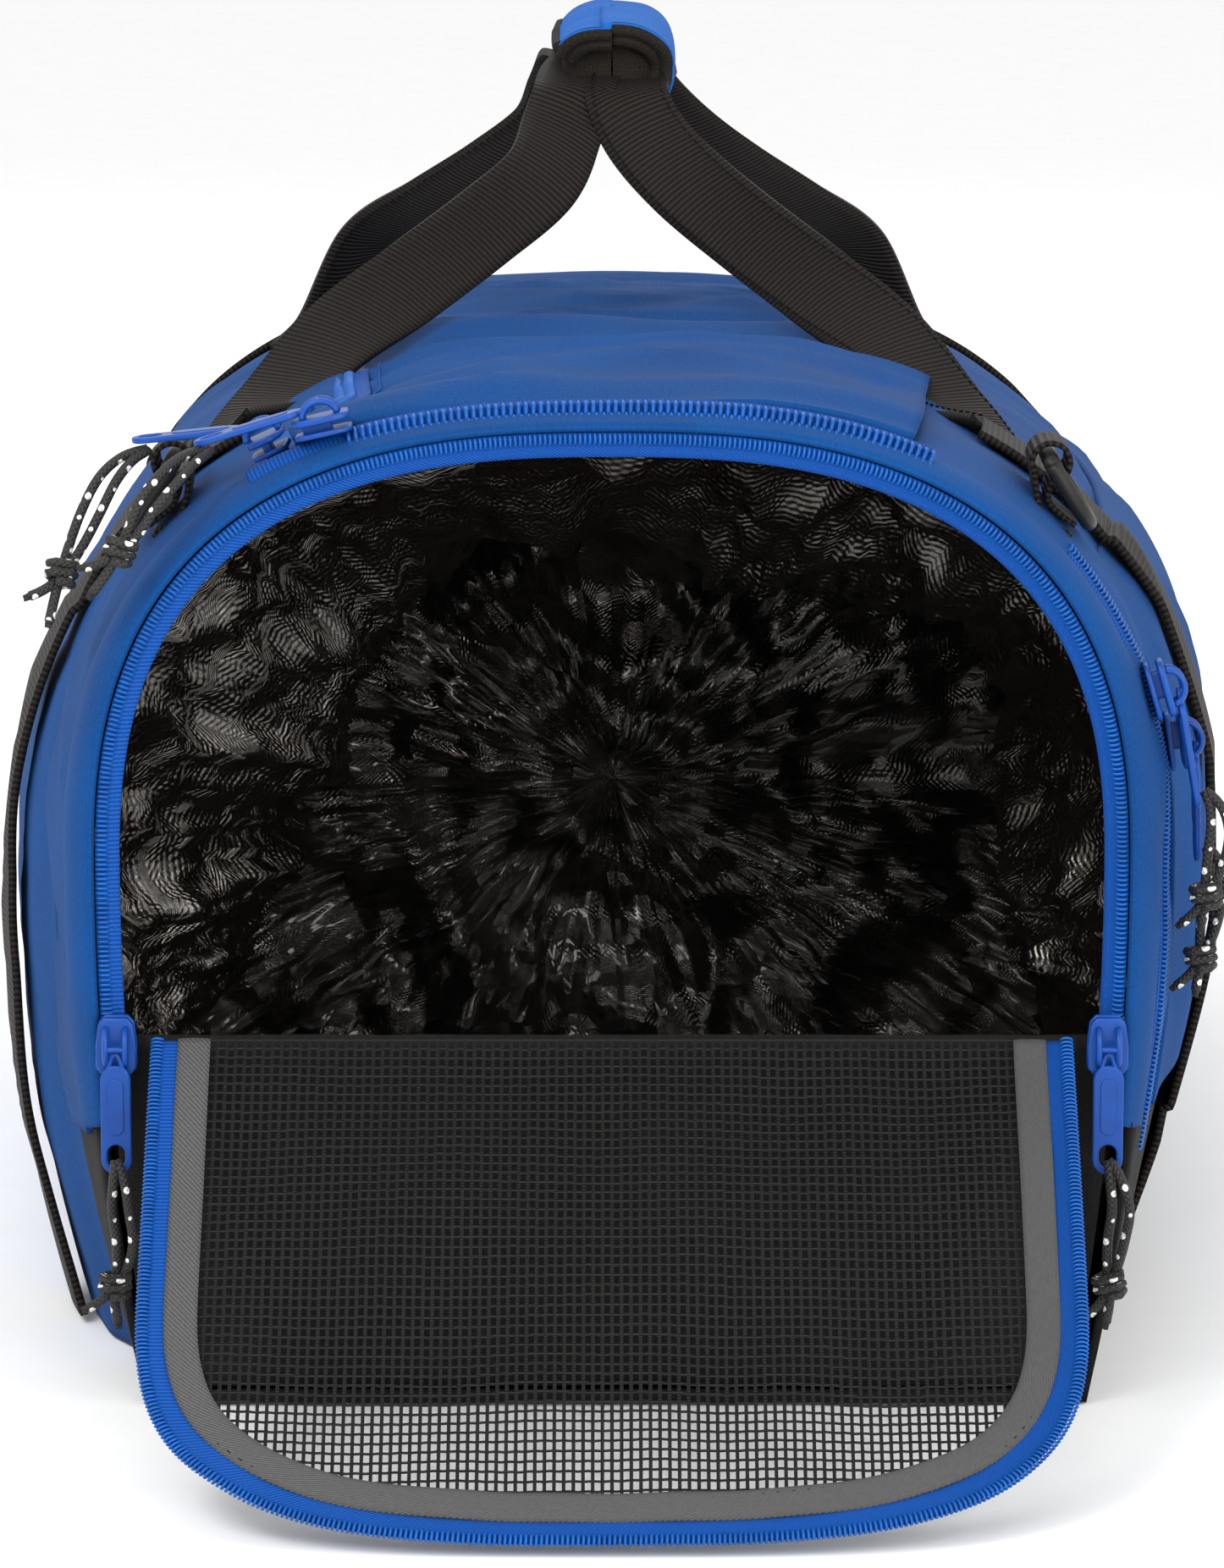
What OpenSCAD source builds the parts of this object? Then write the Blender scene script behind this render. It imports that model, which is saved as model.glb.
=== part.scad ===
// Soft duffel bag with a wet compartment at one end, millimetres, +Z up.
// The origin is the middle of the base's underside. +Y points to the closed rear end
// and -Y to the open end, whose flap hangs down in front. +X is the right-hand side.

/* [Bag] */
// Length of the bag from the front seam to the rear seam
bag_length = 650; // [600:10:700]
// Half width at the front opening
front_half_w = 152; // [146:1:156]
// Half width at the rear end panel
rear_half_w = 150; // [146:1:156]
// How far the sides belly out at mid-length
belly_out = 35; // [30:1:38]
// Height of the front end
front_top = 293; // [290:1:296]
// Height of the rear end
rear_top = 256; // [252:1:260]
// Half width where the sides meet the base
base_half_w = 138; // [134:1:142]
// Thickness of the padded fabric panels
panel_t = 3; // [2:0.5:3]
// Height of the black lower fabric on the sides
base_rise = 75; // [70:1:80]

/* [End flap] */
// Height of the fold line above the floor
fold_z = 114; // [112:1:116]
// Length of the flap from the fold to its tip
flap_len = 184; // [180:1:186]
// Half width of the flap
flap_half_w = 136; // [130:1:136]

/* [Handles] */
// Width of the handle webbing
handle_w = 28; // [26:1:32]
// Width of the webbing sewn down the sides
webbing_w = 38; // [34:1:40]
// Thickness of all the webbing
webbing_t = 2.5; // [2:0.5:3]
// Length of the padded grip
grip_len = 124; // [110:2:130]

/* [Zip pulls and rings] */
// Length of each zip pull
pull_len = 38; // [34:1:40]
// Diameter of the pull cords
cord_d = 3; // [2.5:0.5:3]
// Inside width of the D-rings
ring_w = 26; // [24:1:28]

/* [Hidden] */
$fn = 48;

front_y = -bag_length / 2;
rear_y = bag_length / 2;
section_power = 2.6;      // squareness of the bag's rounded section
crown = 8;                // extra height at mid-length
belt_drop = 30;           // how far the widest line sinks at mid-length
belt_front = 160;         // height of the widest line at the front
gap = 0.5;                // clearance between neighbouring layers
tape_t = 2;               // thickness of zip tape with its coil
collar_s = 0.025;         // share of the length taken by the front collar
lid_left = -0.21;         // the lid's free edge, as a section coordinate
lid_corner = -0.31;       // the same edge at the lid's front corner
lid_right = 0.26;         // the lid's hinged edge
lid_front = 0.036;        // front edge of the lid along the bag
lid_rear = 0.94;          // rear edge of the lid
fold_u = 1.29;            // section coordinate of the fold line
base_u = 1.52;            // section coordinate of the black fabric's top edge
webbing_front = 0.17;     // place of the front webbing along the bag
webbing_rear = 0.84;      // place of the rear webbing along the bag
foot_u = 0.36;            // where the handles leave the shoulders

function lerp(a, b, k) = a + (b - a) * k;
function swell(s) = pow(max(0, sin(180 * s)), 0.6);
function half_w(s) = lerp(front_half_w, rear_half_w, s) + belly_out * swell(s);
function top_z(s) = lerp(front_top, rear_top, pow(s, 1.3)) + crown * swell(s);
function belt_z(s) = belt_front - belt_drop * swell(s);
function base_w(s) = base_half_w + crown * swell(s);

// Point of the skin: s runs from front (0) to rear (1), u runs from the base on the left (-2)
// over the top (0) to the base on the right (2), inset moves the point into the bag.
function section_xz(w, h, b, c, low, t) =
    t < 1
    ? [w - (w - b) * pow(1 - t, 2), lerp(low, c, t)]
    : [w * pow(cos(90 * (t - 1)), 2 / section_power),
       c + (h - c) * pow(sin(90 * (t - 1)), 2 / section_power)];
function skin(s, u, inset = 0) =
    let (p = section_xz(half_w(s) - inset, top_z(s) - inset, base_w(s) - inset,
                        belt_z(s), max(0, inset), 2 - abs(u)))
    [(u < 0 ? -1 : 1) * p[0], front_y + s * bag_length, p[1]];

function range_of(a, b, n) = [for (i = [0:n]) lerp(a, b, i / n)];
function unit(v) = v / norm(v);

// A closed slab between two grids of points that have the same rows and columns.
module slab(top, under) {
    rows = len(top);
    cols = len(top[0]);
    n = rows * cols;
    points = concat([for (r = top) each r], [for (r = under) each r]);
    skins = [for (i = [0:rows - 2], j = [0:cols - 2])
        let (a = i * cols + j, b = a + 1, c = a + cols, d = c + 1)
        each [[a, b, c], [b, d, c], [a + n, c + n, b + n], [b + n, c + n, d + n]]];
    sides = [for (j = [0:cols - 2])
        let (a = j, b = j + 1, c = (rows - 1) * cols + j, d = c + 1)
        each [[a, a + n, b], [b, a + n, b + n], [c, d, c + n], [d, d + n, c + n]]];
    ends = [for (i = [0:rows - 2])
        let (a = i * cols, b = a + cols, c = a + cols - 1, d = c + cols)
        each [[a, b, a + n], [b, b + n, a + n], [c, c + n, d], [d, c + n, d + n]]];
    polyhedron(points = points, faces = concat(skins, sides, ends));
}

// A patch of the skin: one row for each s, from that row's first u to its second.
module patch(ss, starts, stops, outer = 0, inner = panel_t, nu = 8) {
    last = len(ss) - 1;
    slab([for (i = [0:last]) [for (u = range_of(starts[i], stops[i], nu)) skin(ss[i], u, outer)]],
         [for (i = [0:last]) [for (u = range_of(starts[i], stops[i], nu)) skin(ss[i], u, inner)]]);
}
function same(value, ss) = [for (s = ss) value];
module panel(s0, s1, u0, u1, outer = 0, inner = panel_t, ns = 8, nu = 8) {
    ss = range_of(s0, s1, ns);
    patch(ss, same(u0, ss), same(u1, ss), outer, inner, nu);
}
// The lid's free edge runs out to the corner where the zip turns.
lid_turn_s = 0.07;         // where the edge starts to leave the corner's line
lid_turn_len = 0.09;       // share of the bag's length over which it swings in
function smooth(k) = let (c = min(1, max(0, k))) c * c * (3 - 2 * c);
function lid_edge(s) = lerp(lid_corner, lid_left, smooth((s - lid_turn_s) / lid_turn_len));
lid_rows = concat(range_of(lid_front, 0.2, 7), range_of(0.27, lid_rear, 9));

// The outline of the section at s, as a flat polygon in X and Z, above a height.
function outline(s, inset, u_end, n = 40) =
    [for (u = range_of(-u_end, u_end, n)) let (p = skin(s, u, inset)) [p[0], p[2]]];
beyond = 200;              // reaches past the bag on every side
module upright(y0, y1) {
    translate([0, y1, 0]) rotate([90, 0, 0]) linear_extrude(y1 - y0) children();
}

// Base and lower fabric ------------------------------------------------------------
module base_panel() {
    ss = range_of(0.006, 0.994, 24);
    clear = panel_t + gap;
    color("#141414")
    linear_extrude(panel_t)
    polygon(concat([for (s = ss) [base_w(s) - clear, front_y + s * bag_length]],
                   [for (i = [24:-1:0]) [clear - base_w(ss[i]), front_y + ss[i] * bag_length]]));
}
module base_board() {
    board_x = 122;         // half width
    board_y = 305;         // half length
    corner = 20;
    board_t = 4;
    color("#303030")
    translate([0, 0, panel_t + gap])
    linear_extrude(board_t)
    union() {
        square([2 * board_x, 2 * (board_y - corner)], center = true);
        square([2 * (board_x - corner), 2 * board_y], center = true);
        for (x = [-1, 1], y = [-1, 1])
            translate([x * (board_x - corner), y * (board_y - corner)]) circle(corner);
    }
}
module base_side(side) {
    color("#171717")
    panel(0.006, 0.99, side * (base_u + 0.01), side * 2, ns = 10, nu = 4);
}
module base_side_left() { mirror([1, 0, 0]) base_side(1); }
module base_side_right() { base_side(1); }
module base_rear() {
    color("#171717")
    upright(rear_y - panel_t, rear_y)
    intersection() {
        polygon(outline(1, panel_t + gap, 2));
        translate([-beyond, 0]) square([2 * beyond, base_rise]);
    }
}
fold_hem = 6;              // the lower panel stops this far under the fold
module front_lower_panel() {
    color("#101010")
    upright(front_y, front_y + panel_t)
    intersection() {
        polygon(outline(0, panel_t + gap, 2));
        translate([-beyond, 0]) square([2 * beyond, fold_z - fold_hem]);
    }
}

// Upper fabric ---------------------------------------------------------------------
module front_collar() {
    color("#1555a8")
    panel(0, collar_s, -base_u, base_u, ns = 2, nu = 30);
}
module side_panel(side) {
    seam = 0.03;           // room for the zip or the hinge seam, as a section coordinate
    ss = concat(range_of(collar_s + 0.001, 0.2, 5), range_of(0.28, 0.99, 9));
    color("#1450a0")
    patch(ss, [for (s = ss) side > 0 ? lid_right + seam : seam - lid_edge(s)], same(base_u, ss), nu = 9);
}
module side_panel_left() { mirror([1, 0, 0]) side_panel(-1); }
module side_panel_right() { side_panel(1); }
module rear_end_panel() {
    color("#1450a0")
    upright(rear_y - panel_t, rear_y)
    intersection() {
        polygon(outline(1, panel_t + gap, 2));
        translate([-beyond, base_rise + gap]) square(2 * beyond);
    }
}
module rear_yoke() {
    color("#1450a0")
    panel(lid_rear + 0.006, 0.99, lid_left - 0.02, lid_right + 0.02, ns = 2, nu = 6);
}

// Wet compartment ------------------------------------------------------------------
liner_inset = 8;           // gap between the skin and the liner at the opening
liner_pinch = 26;          // how much further in the liner lies at its back
liner_front = 0.028;
liner_rear = 0.46;
liner_t = 1.5;
function liner_at(s) = liner_inset + liner_pinch * pow((s - liner_front) / (liner_rear - liner_front), 1.5);
liner_seam = 0.8;          // where the roof of the liner meets its walls
module liner_wall(u0, u1, nu) {
    ss = range_of(liner_front, liner_rear, 6);
    color("#0a0a0a")
    slab([for (s = ss) [for (u = range_of(u0, u1, nu)) skin(s, u, liner_at(s))]],
         [for (s = ss) [for (u = range_of(u0, u1, nu)) skin(s, u, liner_at(s) + liner_t)]]);
}
module liner_roof() { liner_wall(-liner_seam, liner_seam, 14); }
module liner_right() { liner_wall(liner_seam + 0.005, 2, 8); }
module liner_left() { mirror([1, 0, 0]) liner_right(); }
module liner_floor() {
    ss = range_of(liner_front, liner_rear, 6);
    function edge(s, side, up) =
        [side * (base_w(s) - liner_at(s) - liner_t - gap), front_y + s * bag_length, liner_at(s) + up];
    color("#0a0a0a")
    slab([for (s = ss) [edge(s, -1, liner_t), edge(s, 1, liner_t)]],
         [for (s = ss) [edge(s, -1, 0), edge(s, 1, 0)]]);
}
module liner_back() {
    back_y = front_y + liner_rear * bag_length + gap;
    color("#0a0a0a")
    upright(back_y, back_y + liner_t)
    polygon(outline(liner_rear, liner_inset + liner_pinch, 2));
}

// Zips on the bag ------------------------------------------------------------------
opening_inset = 12;        // how far the tape reaches into the opening
module end_zip_tape() {
    color("#1a4fc0")
    upright(front_y - gap - tape_t, front_y - gap)
    difference() {
        polygon(outline(0, gap, fold_u));
        polygon(concat([[-front_half_w, 0]], outline(0, opening_inset, fold_u), [[front_half_w, 0]]));
    }
}
zip_corner = -0.4;         // where the front run of the top zip ends on the left
zip_stop = 0.33;           // where it ends on the right
front_zip = [0.011, 0.024];  // front and rear edge of the front run along the bag
left_zip = [0.055, 0.015];   // how far outside the lid's edge the left run starts and ends
side_zip = [0.034, 0.062];   // front and rear edge of the side zip along the bag
module top_zip_tape() {
    color("#1a4fc0") {
        panel(front_zip[0], front_zip[1], zip_corner, zip_stop, -tape_t - gap, -gap, ns = 1, nu = 14);
        patch(lid_rows, [for (s = lid_rows) lid_edge(s) - left_zip[0]],
              [for (s = lid_rows) lid_edge(s) - left_zip[1]], -tape_t - gap, -gap, nu = 1);
    }
}
// How far each side pocket stands out from the skin.
pocket_s0 = 0.075;
pocket_s1 = 0.80;
function pocket_end(s) = pow(max(0, sin(180 * (s - pocket_s0) / (pocket_s1 - pocket_s0))), 0.5);
pocket_lift = 2;           // both pockets: gap to the skin plus the cloth
right_pocket = [0.6, 1.5]; // upper and lower edge of the right pocket
right_bulge = 6;
left_pocket_u = 0.7;       // upper edge of the left pocket
left_waist_u = 1.2;        // below this line the left pocket sags outward
left_bulge = 8;
left_sag = 26;             // how far it stands out at the floor
function pocket_right_out(s, u) =
    pocket_lift + right_bulge * pocket_end(s)
    * sin(180 * (u - right_pocket[0]) / (right_pocket[1] - right_pocket[0]));
function left_profile(u) =
    u < left_waist_u ? left_bulge * sin(90 * (u - left_pocket_u) / (left_waist_u - left_pocket_u))
    : lerp(left_bulge, left_sag, pow((u - left_waist_u) / (2 - left_waist_u), 1.3));
function pocket_left_out(s, u) = pocket_lift + pocket_end(s) * left_profile(u);
module side_pocket_right() {
    ss = range_of(pocket_s0, pocket_s1, 10);
    uu = range_of(right_pocket[0], right_pocket[1], 8);
    color("#1653a6")
    slab([for (s = ss) [for (u = uu) skin(s, u, -pocket_right_out(s, u))]],
         [for (s = ss) [for (u = uu) skin(s, u, -gap)]]);
}
function out_x(p, d) = [p[0] + d, p[1], p[2]];
module side_pocket_left() {
    ss = range_of(pocket_s0, pocket_s1, 10);
    uu = range_of(left_pocket_u, 2, 12);
    color("#1653a6")
    mirror([1, 0, 0])
    slab([for (s = ss) [for (u = uu) out_x(skin(s, u), pocket_left_out(s, u))]],
         [for (s = ss) [for (u = uu) out_x(skin(s, u), 1)]]);
}
side_zip_top = 0.58;       // section coordinate of the side zip's upper end
module side_zip_right() {
    color("#1a4fc0")
    panel(side_zip[0], side_zip[1], side_zip_top, base_u - 0.02, -tape_t - gap, -gap, ns = 1, nu = 12);
}

// Webbing sewn down the sides ------------------------------------------------------
module side_webbing(s_mid, side) {
    half = webbing_w / 2 / bag_length;
    ss = range_of(s_mid - half, s_mid + half, 2);
    uu = range_of(foot_u + 0.03, side < 0 ? 1.99 : 1.94, 14);
    lift = gap + 1;
    color("#15120f")
    slab([for (s = ss) [for (u = uu) out_x(skin(s, u, -lift), webbing_out(s, u, side) + webbing_t)]],
         [for (s = ss) [for (u = uu) out_x(skin(s, u, -lift), webbing_out(s, u, side))]]);
}
function webbing_out(s, u, side) =
    s < pocket_s0 || s > pocket_s1 ? 0
    : side < 0 ? (u < left_pocket_u ? 0 : pocket_left_out(s, u))
    : (u < right_pocket[0] || u > right_pocket[1] ? 0 : pocket_right_out(s, u));
module side_webbing_left_front() { mirror([1, 0, 0]) side_webbing(webbing_front, -1); }
module side_webbing_left_rear() { mirror([1, 0, 0]) side_webbing(webbing_rear, -1); }
module side_webbing_right_front() { side_webbing(webbing_front, 1); }
module side_webbing_right_rear() { side_webbing(webbing_rear, 1); }

// D-rings and their tabs -----------------------------------------------------------
ring_bar = 5;              // thickness of a D-ring's bar
ring_tilt = 32;            // angle of a resting ring from straight down
ring_reach = 30;           // length of a ring below its bar
tab_width = 22;
tab_stem = 9;              // length of the sewn tab below its loop
front_ring = skin(0.088, 0.47) + [7, 0, 13];   // pivot of the right front ring, on the shoulder
rear_ring = skin(0.93, 0.86) + [9, 0, 13];     // pivot of the right rear ring, on the flank
module tab_loop(p) {
    hole = ring_bar / 2 + 0.4;
    color("#15120f")
    translate([p[0], p[1] + tab_width / 2, p[2]])
    rotate([90, 0, 0])
    linear_extrude(tab_width)
    difference() {
        union() {
            circle(hole + webbing_t);
            rotate(-28) translate([-hole, -hole - tab_stem]) square([2 * hole, tab_stem]);
        }
        circle(hole);
    }
}
module d_ring(p) {
    arm_y = (ring_w + ring_bar) / 2;
    color("#0c0c0c")
    translate(p)
    rotate([0, 180 - ring_tilt, 0]) {
        translate([0, ring_w / 2, 0]) rotate([90, 0, 0]) cylinder(d = ring_bar, h = ring_w);
        for (side = [-1, 1])
            translate([-ring_bar / 2, side * arm_y - ring_bar / 2, -ring_bar / 2])
            cube([ring_bar, ring_bar, ring_reach]);
        translate([-ring_bar / 2, -arm_y, ring_reach - 1.5 * ring_bar])
        cube([ring_bar, 2 * arm_y, ring_bar]);
    }
}
module ring_tab_right_front() { tab_loop(front_ring); }
module ring_tab_left_front() { mirror([1, 0, 0]) tab_loop(front_ring); }
module ring_tab_right_rear() { tab_loop(rear_ring); }
module ring_tab_left_rear() { mirror([1, 0, 0]) tab_loop(rear_ring); }
module d_ring_right_front() { d_ring(front_ring); }
module d_ring_left_front() { mirror([1, 0, 0]) d_ring(front_ring); }
module d_ring_right_rear() { d_ring(rear_ring); }
module d_ring_left_rear() { mirror([1, 0, 0]) d_ring(rear_ring); }

// End flap, drawn lying in its slanted plane ---------------------------------------
hinge_y = front_y - 4;
flap_slope = asin((fold_z - 2) / flap_len);
flap_power = 3.2;          // squareness of the flap's lower corners
binding_w = 9;
flap_tape_w = 10;
flap_seam = 0.05;          // hairline between the parts sewn together in the flap
mesh_t = 1.2;
binding_t = 2;
flap_zip_t = 1.6;
function flap_outline(inset) =
    let (mid = flap_len / 2, w = flap_half_w - inset, reach = flap_len / 2 - inset)
    concat([[w, 1]],
           [for (a = range_of(0, 180, 40))
                let (c = cos(a), q = sin(a))
                [w * (c < 0 ? -1 : 1) * pow(abs(c), 2 / flap_power), mid + reach * pow(q, 2 / flap_power)]],
           [[-w, 1]]);
module in_flap(thickness) {
    translate([0, hinge_y, fold_z])
    rotate([180 + flap_slope, 0, 0])
    translate([0, 0, -thickness / 2])
    linear_extrude(thickness)
    children();
}
module flap_band(outer, inner) {
    difference() {
        polygon(flap_outline(outer));
        polygon(concat([[flap_half_w - inner, -5]], flap_outline(inner), [[inner - flap_half_w, -5]]));
    }
}
module flap_mesh() {
    color("#151515")
    in_flap(mesh_t) polygon(flap_outline(flap_tape_w + binding_w + flap_seam));
}
module flap_binding() {
    color("#5c5c5c") in_flap(binding_t) flap_band(flap_tape_w, flap_tape_w + binding_w);
}
module flap_zip_tape() {
    color("#1a4fc0") in_flap(flap_zip_t) flap_band(0, flap_tape_w - flap_seam);
}

// Lid ------------------------------------------------------------------------------
module top_lid() {
    color("#1450a0")
    patch(lid_rows, [for (s = lid_rows) lid_edge(s)], same(lid_right, lid_rows), nu = 10);
}
module lid_zip_tape() {
    end_w = 0.012;         // width of the end strips, as a share of the bag's length
    side_w = 0.03;         // width of the side strip, as a section coordinate
    ss = concat([lid_front + end_w + 0.002], [for (i = [1:len(lid_rows) - 2]) lid_rows[i]],
                [lid_rear - end_w - 0.002]);
    color("#1a4fc0") {
        panel(lid_front, lid_front + end_w, lid_corner, lid_right, -tape_t - gap, -gap, ns = 1, nu = 10);
        patch(ss, [for (s = ss) lid_edge(s)], [for (s = ss) lid_edge(s) + side_w],
              -tape_t - gap, -gap, nu = 1);
        panel(lid_rear - end_w, lid_rear, lid_left, lid_right, -tape_t - gap, -gap, ns = 1, nu = 10);
    }
}

// Handles --------------------------------------------------------------------------
// Middle line of one handle on the right, from the front shoulder over the grip to the rear.
foot_lift = 7;             // height of the sewn ends above the skin
foot_front = skin(webbing_front, foot_u, -foot_lift);
foot_rear = skin(webbing_rear, foot_u, -foot_lift);
handle_x = 11;             // distance of the webbing from the middle inside the grip
handle_z = 374;            // height of the webbing inside the grip
handle_route = [
    foot_front,
    [90, front_y + 160, 306],
    [51, front_y + 205, 328],
    [27, front_y + 248, 351],
    [handle_x + 2, -grip_len / 2 + 8, handle_z - 4],
    [handle_x, -20, handle_z],
    [handle_x, 20, handle_z],
    [handle_x + 2, grip_len / 2 - 8, handle_z - 4],
    [27, rear_y - 248, 351],
    [51, rear_y - 205, 326],
    [91, rear_y - 155, 297],
    foot_rear
];
// Across the webbing: along the bag at the shoulders, upright inside the grip.
handle_across = [
    [0.75, 0.3, -0.45], [0.85, 0.3, 0.4], [0.62, 0.1, 0.78], [0.5, 0.05, 0.86],
    [0.2, 0, 0.98], [0, 0, 1], [0, 0, 1], [0.2, 0, 0.98],
    [0.5, -0.05, 0.86], [0.62, -0.1, 0.78], [0.85, -0.3, 0.4], [0.75, -0.3, -0.45]
];
function spline(p, i, k) =
    let (a = p[max(0, i - 1)], b = p[i], c = p[i + 1], d = p[min(len(p) - 1, i + 2)])
    0.5 * (2 * b + (c - a) * k + (2 * a - 5 * b + 4 * c - d) * k * k
           + (3 * b - a - 3 * c + d) * k * k * k);
handle_steps = 3;
function thin(p) = [for (i = [0:len(p) - 2], j = [0:handle_steps - 1]) spline(p, i, j / handle_steps)];
handle_line = concat(thin(handle_route), [foot_rear]);
handle_turn = concat(thin(handle_across), [handle_across[len(handle_across) - 1]]);
function along(p, i) = unit(p[min(len(p) - 1, i + 1)] - p[max(0, i - 1)]);
grip_web_w = 24;           // the webbing is folded narrower inside the grip
widen_len = 45;            // length over which it opens out to its full width
foot_half_w = 3;           // half width of the gathered end at each foot
foot_widening = 0.5;       // how fast the webbing widens away from its feet
foot_axis = unit(foot_rear - foot_front);
function from_axis(p) = norm(cross(p - foot_front, foot_axis));
function web_half(p) =
    min(lerp(grip_web_w, handle_w, min(1, max(0, (abs(p[1]) - grip_len / 2 + 12) / widen_len))) / 2,
        foot_half_w + foot_widening * from_axis(p));
module handle_webbing() {
    last = len(handle_line) - 1;
    rows = [for (i = [0:last])
        let (t = along(handle_line, i),
             raw = handle_turn[i],
             a = unit(raw - (raw * t) * t),
             n = cross(t, a),
             w = web_half(handle_line[i]),
             h = webbing_t / 2,
             c = handle_line[i])
        [[c - a * w + n * h, c + a * w + n * h], [c - a * w - n * h, c + a * w - n * h]]];
    color("#191410")
    slab([for (r = rows) r[0]], [for (r = rows) r[1]]);
}
module handle_right_webbing() { handle_webbing(); }
module handle_left_webbing() { mirror([1, 0, 0]) handle_webbing(); }
// One half of the padded grip, which closes over the webbing with hook and loop.
grip_rise = 17;            // half height of the grip
grip_r = 22;               // radius of its rounded side
grip_mid = 2;              // middle of that radius, out from the bag's middle plane
grip_slot = 6;             // width of the slot the webbing lies in
grip_roof = 3;             // padding above the slot
grip_gap = 0.3;            // half the gap between the two halves
module grip_half() {
    half_len = grip_len / 2 - 14;
    bottom = handle_z - grip_rise;
    top = handle_z + grip_rise;
    color("#1859b0")
    upright(-half_len, half_len)
    difference() {
        intersection() {
            translate([0, bottom]) square([grip_r + grip_mid, top - bottom]);
            translate([grip_mid, handle_z]) circle(grip_r);
        }
        translate([handle_x - grip_slot / 2, bottom - 1]) square([grip_slot, top - bottom - grip_roof]);
        translate([-1, bottom - 1]) square([1 + grip_gap, top - bottom + 2]);
    }
}
module grip_right() { grip_half(); }
module grip_left() { mirror([1, 0, 0]) grip_half(); }

// Zip sliders and pulls ------------------------------------------------------------
slider_l = 17;
slider_w = 12;
slider_t = 6;
slider_nose = 5;           // length of the narrower nose
nose_step = 1.5;           // how much narrower it is on each side
groove = [2.4, 2];         // width and depth of the groove the coil runs in
bail_r = 2.6;
bail_l = 6;
bail_t = 1.4;
bail_y = 2.9;              // middle of each bail arm from the slider's middle
pull_t = 1.8;
pull_w = 9;
pin_w = 4;                 // length of the pull's pin
neck_l = 7;                // length of the narrow neck behind the pin
// A slider lying in the XY plane: the zip runs along X, the bail stands on top.
module slider_shape(bail_turn = 0) {
    color("#1446b8") {
        difference() {
            union() {
                translate([-slider_l / 2, nose_step - slider_w / 2, 0])
                cube([slider_l, slider_w - 2 * nose_step, slider_t]);
                translate([slider_nose - slider_l / 2, -slider_w / 2, 0])
                cube([slider_l - slider_nose, slider_w, slider_t]);
            }
            translate([-slider_l, -groove[0] / 2, -1]) cube([2 * slider_l, groove[0], 1 + groove[1]]);
        }
        rotate(bail_turn)
        for (side = [-1, 1])
            translate([-bail_l / 2, side * bail_y - bail_t / 2, slider_t]) cube([bail_l, bail_t, bail_r * 2]);
    }
}
// A pull whose pin lies at the origin along Y and which reaches toward -X.
module pull_shape() {
    color("#1446b8")
    difference() {
        union() {
            translate([0, pin_w / 2, 0]) rotate([90, 0, 0]) cylinder(d = pull_t, h = pin_w);
            translate([-pull_len + pull_w / 2, -pull_w / 2, -pull_t / 2])
            cube([pull_len - pull_w / 2 - neck_l + 1, pull_w, pull_t]);
            translate([-neck_l, -pin_w / 2, -pull_t / 2]) cube([neck_l, pin_w, pull_t]);
            translate([-pull_len + pull_w / 2, 0, -pull_t / 2]) cylinder(d = pull_w, h = pull_t);
        }
        translate([-pull_len + pull_w / 2, 0, -pull_t]) cylinder(d = cord_d + 1, h = 3 * pull_t);
    }
}
// Each zip fitting: where its slider's underside lies and how its slider and its pull are turned.
slider_clear = 0.6;        // gap between the end sliders and their tape
end_at = [146, front_y - gap - tape_t - slider_clear, 112];
top_front_at = [-84, front_y + 12.5, 290.5];
top_side_at = [-100.5, front_y + 34, 282];
side_upper_at = [159.3, front_y + 25, 212];
side_lower_at = [165.7, front_y + 39, 194.5];
end_turn = [90, 90, 0];
top_front_turn = [0, -13, 0];
top_side_turn = [-25, 0, 90];
side_upper_turn = [0, 73.7, 0];
side_lower_turn = [0, 81.2, 0];
end_pull_turn = [0, -90, 90];
top_front_pull_turn = [0, -17, 0];
top_side_pull_turn = [0, -6, 0];
side_upper_pull_turn = [0, -100, 0];
side_lower_pull_turn = [0, -92, 0];
module place(at, turn) { translate(at) rotate(turn) children(); }
module end_slider_right() { place(end_at, end_turn) slider_shape(); }
module end_slider_left() { mirror([1, 0, 0]) end_slider_right(); }
module top_slider_front() { place(top_front_at, top_front_turn) slider_shape(); }
module top_slider_side() { place(top_side_at, top_side_turn) slider_shape(bail_turn = 90); }
module side_slider_upper() { place(side_upper_at, side_upper_turn) slider_shape(); }
module side_slider_lower() { place(side_lower_at, side_lower_turn) slider_shape(); }

// The pin of each pull lies at the top of its slider's bail.
function turned_x(v, a) = [v[0], v[1] * cos(a) - v[2] * sin(a), v[1] * sin(a) + v[2] * cos(a)];
function turned_y(v, a) = [v[0] * cos(a) + v[2] * sin(a), v[1], v[2] * cos(a) - v[0] * sin(a)];
function turned_z(v, a) = [v[0] * cos(a) - v[1] * sin(a), v[0] * sin(a) + v[1] * cos(a), v[2]];
function turned(v, r) = turned_z(turned_y(turned_x(v, r[0]), r[1]), r[2]);
function pin_of(at, turn) = at + turned([0, 0, slider_t + bail_r], turn);
module end_pull_right() { place(pin_of(end_at, end_turn), end_pull_turn) pull_shape(); }
module end_pull_left() { mirror([1, 0, 0]) end_pull_right(); }
module top_pull_front() { place(pin_of(top_front_at, top_front_turn), top_front_pull_turn) pull_shape(); }
module top_pull_side() { place(pin_of(top_side_at, top_side_turn), top_side_pull_turn) pull_shape(); }
module side_pull_upper() { place(pin_of(side_upper_at, side_upper_turn), side_upper_pull_turn) pull_shape(); }
module side_pull_lower() { place(pin_of(side_lower_at, side_lower_turn), side_lower_pull_turn) pull_shape(); }

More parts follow.
